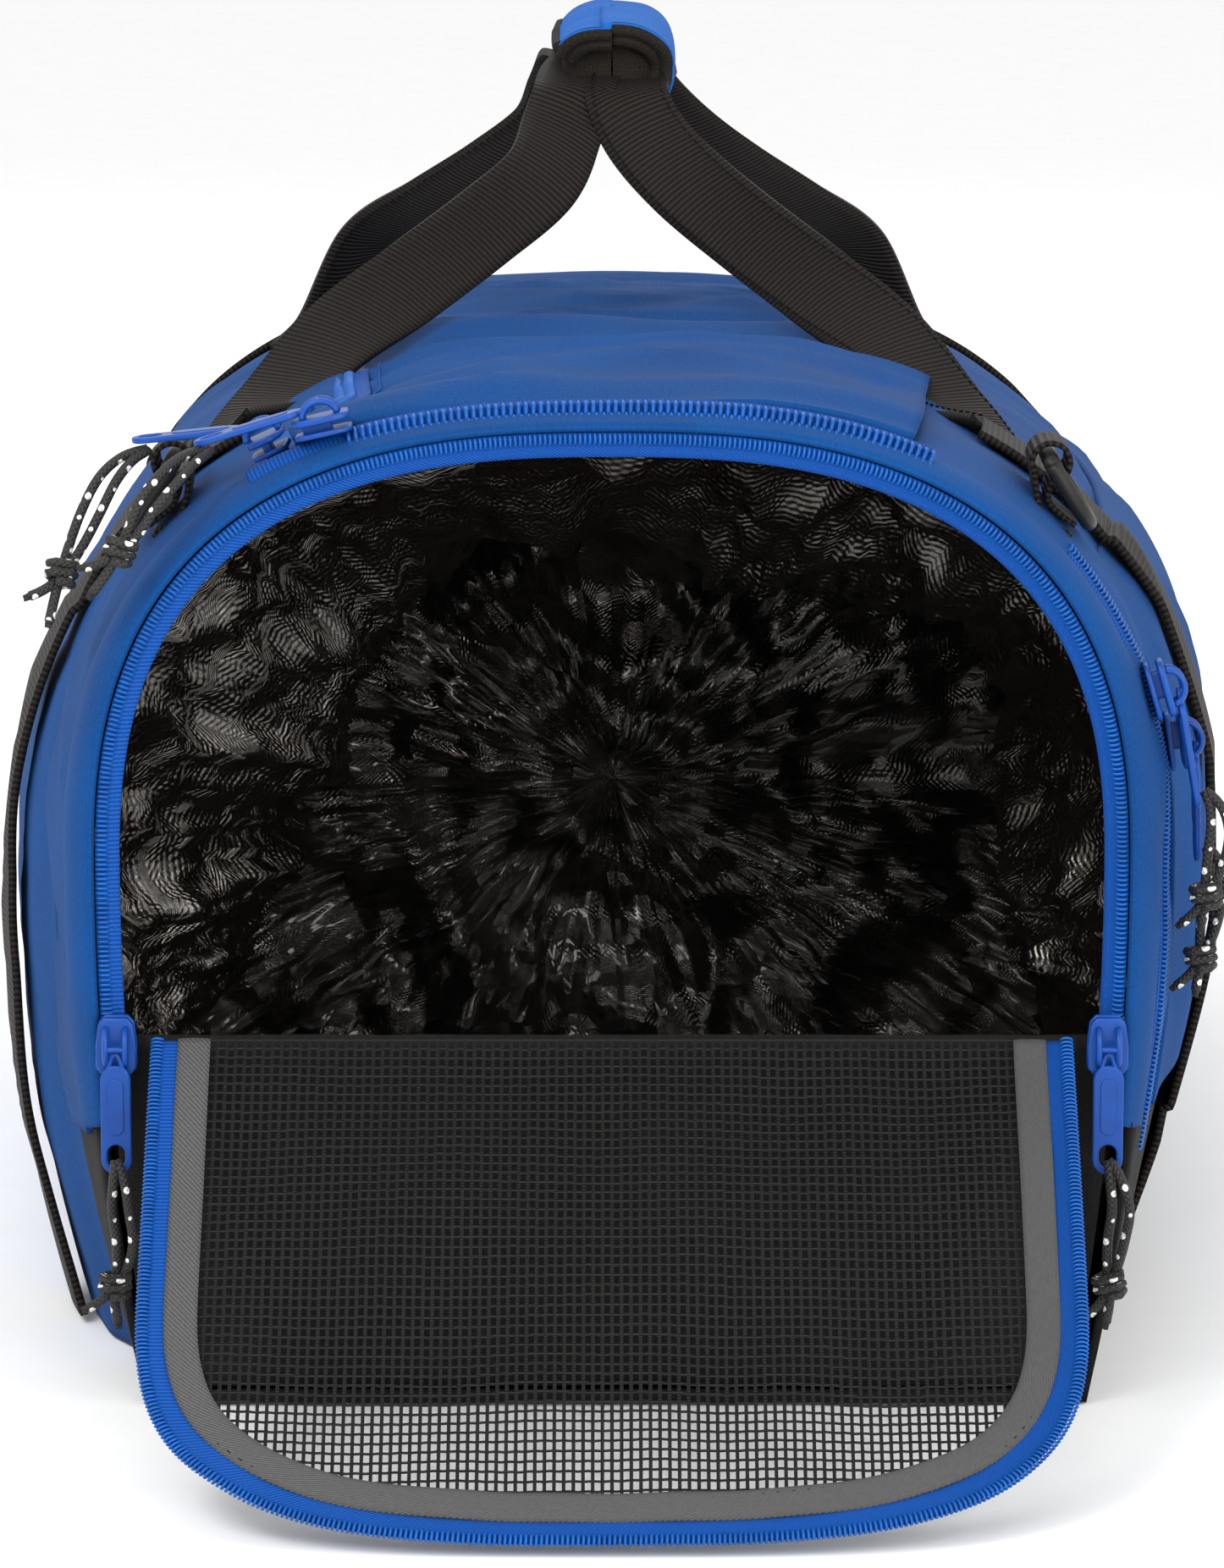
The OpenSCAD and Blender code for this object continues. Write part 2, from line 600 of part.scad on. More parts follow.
// Cords: each route starts in its pull's hole and ends at the frayed tail.
end_cord_route = [
    [146, -341, 79], [146.5, -344, 73], [147, -344, 65], [146, -343, 56],
    [146, -342, 47], [147, -341, 38], [146, -341, 30]
];
top_cord_front_route = [
    [-118, -312, 286], [-124, -318, 285.5], [-130, -325, 282], [-136.5, -331, 274.5],
    [-141, -332.5, 264], [-146, -333, 254], [-151, -333.5, 247]
];
top_cord_side_route = [
    [-137.3, -291, 283.3], [-144.5, -293, 281.3], [-151, -297, 276], [-156, -301, 267],
    [-160, -306, 256], [-163, -312, 245], [-165, -317, 236]
];
side_cord_upper_route = [
    [176, -300, 182], [177.8, -300.5, 177.5], [178.1, -301, 171], [177.3, -301, 163],
    [176.8, -301, 155], [176.8, -300.5, 148], [175.8, -300, 142]
];
side_cord_lower_route = [
    [178.2, -286, 162], [179.2, -286, 158], [179, -285.5, 152], [177.3, -285, 143],
    [176.8, -285, 134], [176.8, -285, 126], [175.8, -285, 118]
];
start_side = [0, 1, 0.13]; // direction the rings' first corner is measured from
module cord(route) {
    steps = 2;
    line = concat([for (i = [0:len(route) - 2], j = [0:steps - 1]) spline(route, i, j / steps)],
                  [route[len(route) - 1]]);
    n = len(line);
    sides = 8;
    rings = [for (i = [0:n - 1])
        let (t = along(line, i), a = unit(cross(t, start_side)), b = cross(t, a))
        each [for (k = [0:sides - 1])
            line[i] + (cord_d / 2) * (cos(360 * k / sides) * a + sin(360 * k / sides) * b)]];
    walls = [for (i = [0:n - 2], k = [0:sides - 1])
        let (a = i * sides + k, b = i * sides + (k + 1) % sides, c = a + sides, d = b + sides)
        each [[a, c, b], [b, c, d]]];
    caps = [[for (k = [0:sides - 1]) k], [for (k = [sides - 1:-1:0]) (n - 1) * sides + k]];
    color("#111111") polyhedron(points = rings, faces = concat(walls, caps));
}
module end_cord_right() { cord(end_cord_route); }
module end_cord_left() { mirror([1, 0, 0]) cord(end_cord_route); }
module top_cord_front() { cord(top_cord_front_route); }
module top_cord_side() { cord(top_cord_side_route); }
module side_cord_upper() { cord(side_cord_upper_route); }
module side_cord_lower() { cord(side_cord_lower_route); }

base_panel();
base_board();
base_side_left();
base_side_right();
base_rear();
front_lower_panel();
front_collar();
side_panel_left();
side_panel_right();
rear_end_panel();
rear_yoke();
liner_roof();
liner_left();
liner_right();
liner_floor();
liner_back();
end_zip_tape();
top_zip_tape();
side_pocket_right();
side_pocket_left();
side_zip_right();
side_webbing_left_front();
side_webbing_left_rear();
side_webbing_right_front();
side_webbing_right_rear();
ring_tab_left_front();
ring_tab_right_front();
ring_tab_left_rear();
ring_tab_right_rear();
d_ring_left_front();
d_ring_right_front();
d_ring_left_rear();
d_ring_right_rear();
flap_mesh();
flap_binding();
flap_zip_tape();
top_lid();
lid_zip_tape();
handle_left_webbing();
grip_left();
handle_right_webbing();
grip_right();
end_slider_left();
end_slider_right();
top_slider_front();
top_slider_side();
side_slider_upper();
side_slider_lower();
end_pull_left();
end_pull_right();
top_pull_front();
top_pull_side();
side_pull_upper();
side_pull_lower();
end_cord_left();
end_cord_right();
top_cord_front();
top_cord_side();
side_cord_upper();
side_cord_lower();
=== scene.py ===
"""Looks of the duffel bag: cloth, zips, webbing, cords and the crinkled wet-compartment liner, in metres."""
import math

import bpy
import numpy as np
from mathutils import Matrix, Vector, noise


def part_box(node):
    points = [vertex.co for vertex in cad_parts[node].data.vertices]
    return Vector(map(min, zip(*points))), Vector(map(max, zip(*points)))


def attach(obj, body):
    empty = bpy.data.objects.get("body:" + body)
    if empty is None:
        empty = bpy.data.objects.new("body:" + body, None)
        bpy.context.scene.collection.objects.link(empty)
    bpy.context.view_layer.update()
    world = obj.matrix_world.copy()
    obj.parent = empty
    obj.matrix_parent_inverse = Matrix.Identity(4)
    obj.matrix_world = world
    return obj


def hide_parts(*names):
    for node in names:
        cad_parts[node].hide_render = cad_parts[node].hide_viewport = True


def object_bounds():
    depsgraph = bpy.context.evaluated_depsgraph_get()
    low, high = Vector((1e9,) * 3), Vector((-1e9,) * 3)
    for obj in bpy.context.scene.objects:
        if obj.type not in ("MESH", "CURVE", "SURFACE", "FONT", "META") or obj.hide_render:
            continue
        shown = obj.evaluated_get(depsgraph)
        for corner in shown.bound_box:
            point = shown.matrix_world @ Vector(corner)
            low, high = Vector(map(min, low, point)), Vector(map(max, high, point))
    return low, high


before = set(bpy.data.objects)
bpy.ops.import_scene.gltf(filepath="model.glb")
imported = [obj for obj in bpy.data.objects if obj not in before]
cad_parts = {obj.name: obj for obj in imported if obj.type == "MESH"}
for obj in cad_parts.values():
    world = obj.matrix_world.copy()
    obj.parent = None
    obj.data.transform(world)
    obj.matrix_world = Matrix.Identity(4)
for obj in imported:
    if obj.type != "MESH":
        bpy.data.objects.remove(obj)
cad_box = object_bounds()

# ---------------------------------------------------------------- sizes, in metres
MM = 0.001
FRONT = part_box("front_collar")[0][1]
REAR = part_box("rear_end_panel")[1][1]
LENGTH = REAR - FRONT
FRONT_HALF, REAR_HALF, BELLY = 152 * MM, 150 * MM, 35 * MM
FRONT_TOP, REAR_TOP, CROWN = 293 * MM, 256 * MM, 8 * MM
BELT_FRONT, BELT_DROP, BASE_HALF = 160 * MM, 30 * MM, 138 * MM
SECTION_POWER = 2.6
FOLD_U, BASE_U = 1.29, 1.46
LID_LEFT, LID_CORNER, LID_RIGHT = -0.21, -0.31, 0.26
LID_TURN, LID_TURN_LEN = 0.07, 0.09
SIDE_ZIP_S = 0.048
LID_FRONT, LID_REAR = 0.036, 0.94
POCKET_FRONT, POCKET_REAR = 0.075, 0.80
WEB_FRONT, WEB_REAR, FOOT_U = 0.17, 0.84, 0.36
WEB_W, WEB_T = 38 * MM, 2.4 * MM
HANDLE_W = 27 * MM
GRIP_LEN, HANDLE_Z = 124 * MM, 374 * MM
FOLD_Z, FLAP_LEN, FLAP_HALF = 114 * MM, 184 * MM, 136 * MM
HINGE_Y = FRONT - 4 * MM
FLAP_SLOPE = math.asin((FOLD_Z - 2 * MM) / FLAP_LEN)
FLAP_POWER = 3.2
FLAP_TAPE, BINDING = 10 * MM, 9 * MM
LINER_FRONT, LINER_REAR = 0.028, 0.46
CORD_D = 3 * MM
UP = Vector((0, 0, 1))


def lerp(a, b, k):
    return a + (b - a) * k


def spread(a, b, n):
    """n + 1 even steps from a to b."""
    return [lerp(a, b, i / n) for i in range(n + 1)]


def smooth(k):
    k = min(1.0, max(0.0, k))
    return k * k * (3 - 2 * k)


def lid_edge(s):
    """The lid's free edge, which runs out to the corner where the zip turns."""
    return lerp(LID_CORNER, LID_LEFT, smooth((s - LID_TURN) / LID_TURN_LEN))


# ---------------------------------------------------------------- the bag's skin
def swell(s):
    return max(0.0, math.sin(math.pi * s)) ** 0.6


def skin(s, u, inset=0.0):
    """Point of the skin: s from front to rear, u from base left (-2) over the top (0) to base right (2)."""
    half = lerp(FRONT_HALF, REAR_HALF, s) + BELLY * swell(s) - inset
    top = lerp(FRONT_TOP, REAR_TOP, max(0.0, s) ** 1.3) + CROWN * swell(s) - inset
    belt = BELT_FRONT - BELT_DROP * swell(s)
    base = BASE_HALF + CROWN * swell(s) - inset
    low = max(0.0, inset)
    t = 2 - abs(u)
    if t < 1:
        x, z = half - (half - base) * (1 - t) ** 2, lerp(low, belt, t)
    else:
        a = math.pi / 2 * (t - 1)
        x = half * max(0.0, math.cos(a)) ** (2 / SECTION_POWER)
        z = belt + (top - belt) * math.sin(a) ** (2 / SECTION_POWER)
    return Vector((math.copysign(x, u) if u else 0.0, FRONT + s * LENGTH, z))


def skin_normal(s, u):
    """Outward normal of the skin."""
    e = 0.004
    across = skin(s, u + e) - skin(s, u - e)
    along = skin(min(1, s + e), u) - skin(max(0, s - e), u)
    return across.cross(along).normalized() if across.length else UP


def creases(p, scale, depth, seed=0.0):
    """Soft folds: smooth noise with rounded ridges."""
    q = Vector((p[0] * scale[0] + seed, p[1] * scale[1], p[2] * scale[2]))
    warp = noise.noise(q * 0.7 + Vector((3.1, 7.7, 1.9)))
    ridge = 1 - 2.2 * abs(noise.noise(q * 1.3 + Vector((warp, warp * 0.6, 2.3))))
    return depth * (0.9 * noise.noise(q) + 0.45 * noise.noise(q * 2.1) + 0.55 * max(0.0, ridge) ** 2 - 0.2)


# ---------------------------------------------------------------- camera and cords first
CAMERA_DISTANCE, CAMERA_HEIGHT, CAMERA_PITCH = 1.950, 0.568, 11.0
CAMERA_LENS = 155.5


def make_camera():
    data = bpy.data.cameras.new("camera")
    data.lens = CAMERA_LENS
    data.sensor_width = 36
    data.clip_end = 50
    camera = bpy.data.objects.new("camera", data)
    camera.location = (0, FRONT - CAMERA_DISTANCE, CAMERA_HEIGHT)
    camera.rotation_euler = (math.radians(90 - CAMERA_PITCH), 0, 0)
    bpy.context.collection.objects.link(camera)
    bpy.context.scene.camera = camera


def catmull(points, steps):
    """A smooth line through the points."""
    p = [Vector(q) for q in points]
    line = []
    for i in range(len(p) - 1):
        a, b, c, d = p[max(0, i - 1)], p[i], p[i + 1], p[min(len(p) - 1, i + 2)]
        for j in range(steps):
            k = j / steps
            line.append(0.5 * (2 * b + (c - a) * k + (2 * a - 5 * b + 4 * c - d) * k * k
                               + (3 * b - a - 3 * c + d) * k ** 3))
    return line + [p[-1]]


def evenly(points, step):
    """The same line with points an even step apart."""
    p = np.array([tuple(q) for q in points])
    run = np.concatenate([[0], np.cumsum(np.linalg.norm(np.diff(p, axis=0), axis=1))])
    at = np.linspace(0, run[-1], max(2, int(round(run[-1] / step)) + 1))
    return [Vector(q) for q in np.stack([np.interp(at, run, p[:, k]) for k in range(3)], axis=1)]


def tangents(points):
    n = len(points)
    return [(points[min(n - 1, i + 1)] - points[max(0, i - 1)]).normalized() for i in range(n)]


# ---------------------------------------------------------------- mesh helpers
def add_object(name, mesh, material, body):
    obj = bpy.data.objects.new(name, mesh)
    bpy.context.collection.objects.link(obj)
    if material:
        mesh.materials.append(material)
    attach(obj, body)
    return obj


def grid_faces(rows, cols, closed=False):
    faces = []
    wrap = cols if closed else cols - 1
    for i in range(rows - 1):
        for j in range(wrap):
            k = (j + 1) % cols
            faces.append((i * cols + j, i * cols + k, (i + 1) * cols + k, (i + 1) * cols + j))
    return faces


def set_uv(mesh, uv_of_vertex):
    """A UV map in metres from one coordinate pair per vertex."""
    layer = mesh.uv_layers.new(name="UVMap")
    index = np.empty(len(mesh.loops), dtype=np.int32)
    mesh.loops.foreach_get("vertex_index", index)
    layer.data.foreach_set("uv", np.array(uv_of_vertex, dtype=np.float32)[index].ravel())


def sheet_mesh(name, rows, material, body, thickness=0.0, closed=False, outward=1):
    """A cloth sheet from rows of points, thickened inward, with a UV map in metres."""
    r, c = len(rows), len(rows[0])
    mesh = bpy.data.meshes.new(name)
    faces = grid_faces(r, c, closed)
    if outward < 0:
        faces = [f[::-1] for f in faces]
    mesh.from_pydata([p for row in rows for p in row], [], faces)
    u = [[0.0] * c for _ in range(r)]
    v = [[0.0] * c for _ in range(r)]
    for i in range(r):
        for j in range(c):
            if j:
                u[i][j] = u[i][j - 1] + (rows[i][j] - rows[i][j - 1]).length
            if i:
                v[i][j] = v[i - 1][j] + (rows[i][j] - rows[i - 1][j]).length
    set_uv(mesh, [(u[i][j] - u[i][c // 2], v[i][j]) for i in range(r) for j in range(c)])
    mesh.shade_smooth()
    obj = add_object(name, mesh, material, body)
    if thickness:
        solid = obj.modifiers.new("thickness", "SOLIDIFY")
        solid.thickness = thickness
        solid.offset = -1
    return obj


def tube_mesh(name, line, radius, material, body, sides=8, squash=1.0, side_hint=(0, 1, 0.13)):
    """A round or flattened tube along a line; radius may be a list."""
    directions = tangents(line)
    radii = radius if isinstance(radius, list) else [radius] * len(line)
    verts = []
    a = directions[0].cross(Vector(side_hint)).normalized()
    for p, t, r in zip(line, directions, radii):
        a = (a - t * a.dot(t)).normalized()
        b = t.cross(a)
        for k in range(sides):
            w = 2 * math.pi * k / sides
            verts.append(p + (a * math.cos(w) + b * math.sin(w) * squash) * r)
    n = len(line)
    faces = grid_faces(n, sides, closed=True)
    faces.append(tuple(range(sides))[::-1])
    faces.append(tuple((n - 1) * sides + k for k in range(sides)))
    mesh = bpy.data.meshes.new(name)
    mesh.from_pydata(verts, [], faces)
    run = 0.0
    uv = []
    for i, p in enumerate(line):
        run += (p - line[i - 1]).length if i else 0.0
        uv += [(2 * math.pi * radii[i] * k / sides, run) for k in range(sides)]
    set_uv(mesh, uv)
    mesh.shade_smooth()
    return add_object(name, mesh, material, body)


def many(name, shape, places, material, body):
    """One mesh of many copies: shape is (vertices, faces), places is a list of (origin, x, y, z) frames."""
    base, faces = np.array([tuple(v) for v in shape[0]]), shape[1]
    verts, polys = [], []
    for n, (o, x, y, z) in enumerate(places):
        axes = np.array([tuple(x), tuple(y), tuple(z)])
        verts.append(base @ axes + np.array(tuple(o)))
        shift = n * len(base)
        polys += [tuple(i + shift for i in f) for f in faces]
    mesh = bpy.data.meshes.new(name)
    mesh.from_pydata(np.concatenate(verts), [], polys)
    mesh.shade_smooth()
    return add_object(name, mesh, material, body)


def join_meshes(name, objects, body):
    """Several simple meshes made one piece."""
    bpy.ops.object.select_all(action="DESELECT")
    for o in objects:
        o.select_set(True)
    bpy.context.view_layer.objects.active = objects[0]
    bpy.ops.object.join()
    objects[0].name = name
    return objects[0]


# ---------------------------------------------------------------- materials
def new_material(name, color, roughness, **sockets):
    """A Principled material; returns it with its tree and shader."""
    material = bpy.data.materials.new(name)
    material.use_nodes = True
    tree = material.node_tree
    shader = tree.nodes["Principled BSDF"]
    shader.inputs["Base Color"].default_value = (*color, 1)
    shader.inputs["Roughness"].default_value = roughness
    for key, value in sockets.items():
        socket = shader.inputs[key.replace("_", " ")]
        socket.default_value = value
    return material, tree, shader


def add(tree, kind, **values):
    """A node with input values (by name) and attributes (lower case)."""
    node = tree.nodes.new(kind)
    for key, value in values.items():
        if key[0].isupper():
            node.inputs[key.replace("_", " ")].default_value = value
        else:
            setattr(node, key, value)
    return node


def stretched(tree, source, scale, turn=0.0):
    """A coordinate scaled (and turned) before a texture."""
    coordinate = add(tree, "ShaderNodeTexCoord")
    mapping = add(tree, "ShaderNodeMapping", Scale=scale, Rotation=(0, 0, turn))
    tree.links.new(coordinate.outputs[source], mapping.inputs["Vector"])
    return mapping.outputs["Vector"]


def noise_node(tree, vector, scale, detail=3.0, rough=0.6):
    node = add(tree, "ShaderNodeTexNoise", Scale=scale, Detail=detail, Roughness=rough)
    tree.links.new(vector, node.inputs["Vector"])
    return node.outputs["Fac"]


def bands_node(tree, vector, pitch, direction="X", distortion=0.0):
    """Parallel bands a pitch apart, in metres."""
    node = add(tree, "ShaderNodeTexWave", Scale=0.314 / pitch, Distortion=distortion, bands_direction=direction)
    tree.links.new(vector, node.inputs["Vector"])
    return node.outputs["Fac"]


def mix_value(tree, a, b, how="MULTIPLY"):
    node = add(tree, "ShaderNodeMath", operation=how)
    for i, source in enumerate((a, b)):
        if isinstance(source, (int, float)):
            node.inputs[i].default_value = source
        else:
            tree.links.new(source, node.inputs[i])
    return node.outputs[0]


def color_between(tree, shader, factor, low, high, span=(0.3, 0.7)):
    ramp = add(tree, "ShaderNodeValToRGB")
    ramp.color_ramp.elements[0].position, ramp.color_ramp.elements[1].position = span
    ramp.color_ramp.elements[0].color = (*low, 1)
    ramp.color_ramp.elements[1].color = (*high, 1)
    tree.links.new(factor, ramp.inputs["Fac"])
    tree.links.new(ramp.outputs["Color"], shader.inputs["Base Color"])
    return ramp


def bump(tree, shader, height, distance, strength=1.0, after=None):
    node = add(tree, "ShaderNodeBump", Strength=strength, Distance=distance)
    tree.links.new(height, node.inputs["Height"])
    if after:
        tree.links.new(after, node.inputs["Normal"])
    tree.links.new(node.outputs["Normal"], shader.inputs["Normal"])
    return node.outputs["Normal"]


def vary_roughness(tree, shader, factor, low, high):
    node = add(tree, "ShaderNodeMapRange")
    node.inputs["To Min"].default_value = low
    node.inputs["To Max"].default_value = high
    tree.links.new(factor, node.inputs["Value"])
    tree.links.new(node.outputs["Result"], shader.inputs["Roughness"])


def woven(name, low, high, roughness=0.75, pitch=0.9 * MM, depth=0.12 * MM, sheen=0.015):
    """Plain-weave cloth: crossed threads, heathered colour and faint rubbing."""
    material, tree, shader = new_material(name, high, roughness, Sheen_Weight=sheen, Sheen_Roughness=0.4)
    shader.inputs["Specular IOR Level"].default_value = 0.1
    uv = stretched(tree, "UV", (1, 1, 1))
    threads = mix_value(tree, bands_node(tree, uv, pitch, "X", 0.4), bands_node(tree, uv, pitch, "Y", 0.4))
    fine = noise_node(tree, uv, 900, 4)
    broad = noise_node(tree, stretched(tree, "Object", (1, 1, 1)), 14, 4)
    tone = mix_value(tree, mix_value(tree, fine, 0.55), mix_value(tree, broad, 0.45), "ADD")
    color_between(tree, shader, tone, low, high, (0.36, 0.66))
    bump(tree, shader, mix_value(tree, threads, fine, "ADD"), depth)
    vary_roughness(tree, shader, broad, roughness - 0.08, roughness + 0.1)
    return material


def ribbed(name, low, high, pitch, roughness=0.6, depth=0.25 * MM, direction="Y", sheen=0.01):
    """Webbing or tape whose ribs run across it."""
    material, tree, shader = new_material(name, high, roughness, Sheen_Weight=sheen, Sheen_Roughness=0.35)
    shader.inputs["Specular IOR Level"].default_value = 0.12
    uv = stretched(tree, "UV", (1, 1, 1))
    ribs = bands_node(tree, uv, pitch, direction, 0.25)
    fine = noise_node(tree, uv, 1400, 3)
    color_between(tree, shader, mix_value(tree, mix_value(tree, ribs, 0.5), mix_value(tree, fine, 0.5), "ADD"),
                  low, high, (0.25, 0.75))
    bump(tree, shader, mix_value(tree, ribs, mix_value(tree, fine, 0.4), "ADD"), depth)
    return material


def twill(name, low, high, pitch=1.1 * MM):
    material, tree, shader = new_material(name, high, 0.75, Sheen_Weight=0.02)
    uv = stretched(tree, "UV", (1, 1, 1), turn=math.radians(38))
    lines = bands_node(tree, uv, pitch, "X", 0.3)
    fine = noise_node(tree, uv, 1200, 3)
    color_between(tree, shader, mix_value(tree, mix_value(tree, lines, 0.4), mix_value(tree, fine, 0.6), "ADD"),
                  low, high, (0.25, 0.7))
    bump(tree, shader, lines, 0.15 * MM)
    return material


def tarpaulin(name):
    """Black laminated tape weave: very glossy, with fine rectangular tapes and small kinks."""
    material, tree, shader = new_material(name, (0.003, 0.0026, 0.0022), 0.2)
    shader.inputs["Specular IOR Level"].default_value = 1.0
    shader.inputs["Specular Tint"].default_value = (1.0, 0.93, 0.84, 1)
    shader.inputs["Coat Weight"].default_value = 0.35
    shader.inputs["Coat Roughness"].default_value = 0.08
    uv = stretched(tree, "UV", (1, 1, 1))
    tapes = mix_value(tree, bands_node(tree, uv, 2.6 * MM, "X", 0.3), bands_node(tree, uv, 2.2 * MM, "Y", 0.3), "ADD")
    kinks = noise_node(tree, stretched(tree, "Object", (1, 1, 1)), 110, 5, 0.7)
    first = bump(tree, shader, kinks, 1.2 * MM, 0.6)
    bump(tree, shader, tapes, 0.2 * MM, 0.7, after=first)
    vary_roughness(tree, shader, kinks, 0.08, 0.3)
    return material


def moulded(name, color, roughness, coat=0.0, grain=600):
    """Moulded plastic or enamelled metal with a faint orange-peel surface."""
    material, tree, shader = new_material(name, color, roughness, Coat_Weight=coat, Coat_Roughness=0.12)
    shader.inputs["Specular IOR Level"].default_value = 0.25
    coordinate = stretched(tree, "Object", (1, 1, 1))
    speck = noise_node(tree, coordinate, grain, 3)
    broad = noise_node(tree, coordinate, 60, 3)
    bump(tree, shader, speck, 0.05 * MM, 0.6)
    vary_roughness(tree, shader, broad, roughness - 0.06, roughness + 0.1)
    color_between(tree, shader, broad, tuple(0.8 * c for c in color), tuple(min(1, 1.15 * c) for c in color))
    return material


def braided_cord(name):
    """Black braid with pale reflective flecks."""
    material, tree, shader = new_material(name, (0.01, 0.01, 0.01), 0.6, Sheen_Weight=0.02)
    uv = stretched(tree, "UV", (1, 1, 1))
    braid = mix_value(tree, bands_node(tree, stretched(tree, "UV", (1, 1, 1), 0.7), 1.1 * MM, "X"),
                      bands_node(tree, stretched(tree, "UV", (1, 1, 1), -0.7), 1.1 * MM, "X"))
    cells = add(tree, "ShaderNodeTexVoronoi", Scale=240)
    tree.links.new(uv, cells.inputs["Vector"])
    near = mix_value(tree, cells.outputs["Distance"], 0.26, "LESS_THAN")
    color_between(tree, shader, near, (0.01, 0.009, 0.008), (0.75, 0.75, 0.7), (0.45, 0.55))
    bump(tree, shader, braid, 0.35 * MM)
    return material


BLUE_LOW, BLUE_HIGH = (0.0018, 0.036, 0.145), (0.004, 0.062, 0.235)
M = {
    "shell": woven("shell_cloth", BLUE_LOW, BLUE_HIGH),
    "base": woven("base_cloth", (0.004, 0.004, 0.004), (0.012, 0.011, 0.011), 0.7),
    "grip": woven("grip_cloth", (0.004, 0.075, 0.32), (0.010, 0.125, 0.46), 0.8),
    "webbing": ribbed("webbing_ribs", (0.0025, 0.002, 0.0017), (0.022, 0.017, 0.014), 1.9 * MM, depth=0.45 * MM),
    "tape": ribbed("zip_tape_ribs", (0.002, 0.035, 0.19), (0.005, 0.08, 0.36), 1.3 * MM, 0.6, 0.2 * MM),
    "coil": moulded("coil_nylon", (0.003, 0.085, 0.36), 0.42, 0.03),
    "stitch": ribbed("thread", (0.012, 0.012, 0.012), (0.04, 0.04, 0.04), 0.5 * MM),
    "blue_stitch": ribbed("blue_thread", (0.003, 0.06, 0.28), (0.006, 0.10, 0.44), 0.5 * MM),
    "binding": twill("binding_twill", (0.03, 0.03, 0.03), (0.085, 0.085, 0.085)),
    "mesh": ribbed("mesh_threads", (0.004, 0.004, 0.004), (0.02, 0.019, 0.018), 0.6 * MM, 0.6, 0.08 * MM),
    "tarp": tarpaulin("tarpaulin"),
    "enamel": moulded("blue_enamel", (0.002, 0.05, 0.27), 0.4, 0.08),
    "plastic": moulded("black_plastic", (0.012, 0.011, 0.01), 0.42),
    "foam": woven("foam_lining", (0.006, 0.005, 0.004), (0.024, 0.020, 0.016), 0.85, 1.4 * MM),
    "cord": braided_cord("pull_cord"),
}


# ---------------------------------------------------------------- cords on the zip pulls
CORDS = {
    "end_cord_right": [
        (146, -341, 79), (146.5, -344, 73), (147, -344, 65), (146, -343, 56),
        (146, -342, 47), (147, -341, 38), (146, -341, 30)],
    "top_cord_front": [
        (-118, -312, 286), (-124, -318, 285.5), (-130, -325, 282), (-136.5, -331, 274.5),
        (-141, -332.5, 264), (-146, -333, 254), (-151, -333.5, 247)],
    "top_cord_side": [
        (-137.3, -291, 283.3), (-144.5, -293, 281.3), (-151, -297, 276), (-156, -301, 267),
        (-160, -306, 256), (-163, -312, 245), (-165, -317, 236)],
    "side_cord_upper": [
        (176, -300, 182), (177.8, -300.5, 177.5), (178.1, -301, 171), (177.3, -301, 163),
        (176.8, -301, 155), (176.8, -300.5, 148), (175.8, -300, 142)],
    "side_cord_lower": [
        (178.2, -286, 162), (179.2, -286, 158), (179, -285.5, 152), (177.3, -285, 143),
        (176.8, -285, 134), (176.8, -285, 126), (175.8, -285, 118)],
}
CORDS["end_cord_left"] = [(-x, y, z) for x, y, z in CORDS["end_cord_right"]]
KNOT_AT = 0.78             # share of a cord's length at which its knot sits


def knot_line(center, along, turns=2.3, radius=3.4 * MM):
    """The wraps of an overhand knot round the cord."""
    side = along.cross(Vector((0, 1, 0.2))).normalized()
    other = along.cross(side)
    line = []
    for k in spread(0, 1, 26):
        w = 2 * math.pi * turns * k
        swing = 1 + 0.25 * math.sin(3 * w)
        line.append(center + (side * math.cos(w) + other * math.sin(w)) * radius * swing
                    + along * lerp(-3.2, 3.2, k) * MM)
    return line


def frayed_end(name, tip, along, body):
    """Loose strands at the cut end of a cord."""
    side = along.cross(Vector((0.2, 1, 0))).normalized()
    other = along.cross(side)
    strands = []
    for k in range(9):
        w = 2 * math.pi * k / 9
        out = (side * math.cos(w) + other * math.sin(w)) * (0.9 + 0.25 * math.sin(5 * k)) * MM
        end = tip + along * (1.5 + 0.6 * math.cos(3 * k)) * MM + out * 0.5
        strands.append(tube_mesh(f"{name}_{k}", [tip - along * MM + out * 0.5, tip + out * 0.7, end],
                                 0.5 * MM, M["cord"], body, 5))
    return join_meshes(name, strands, body)


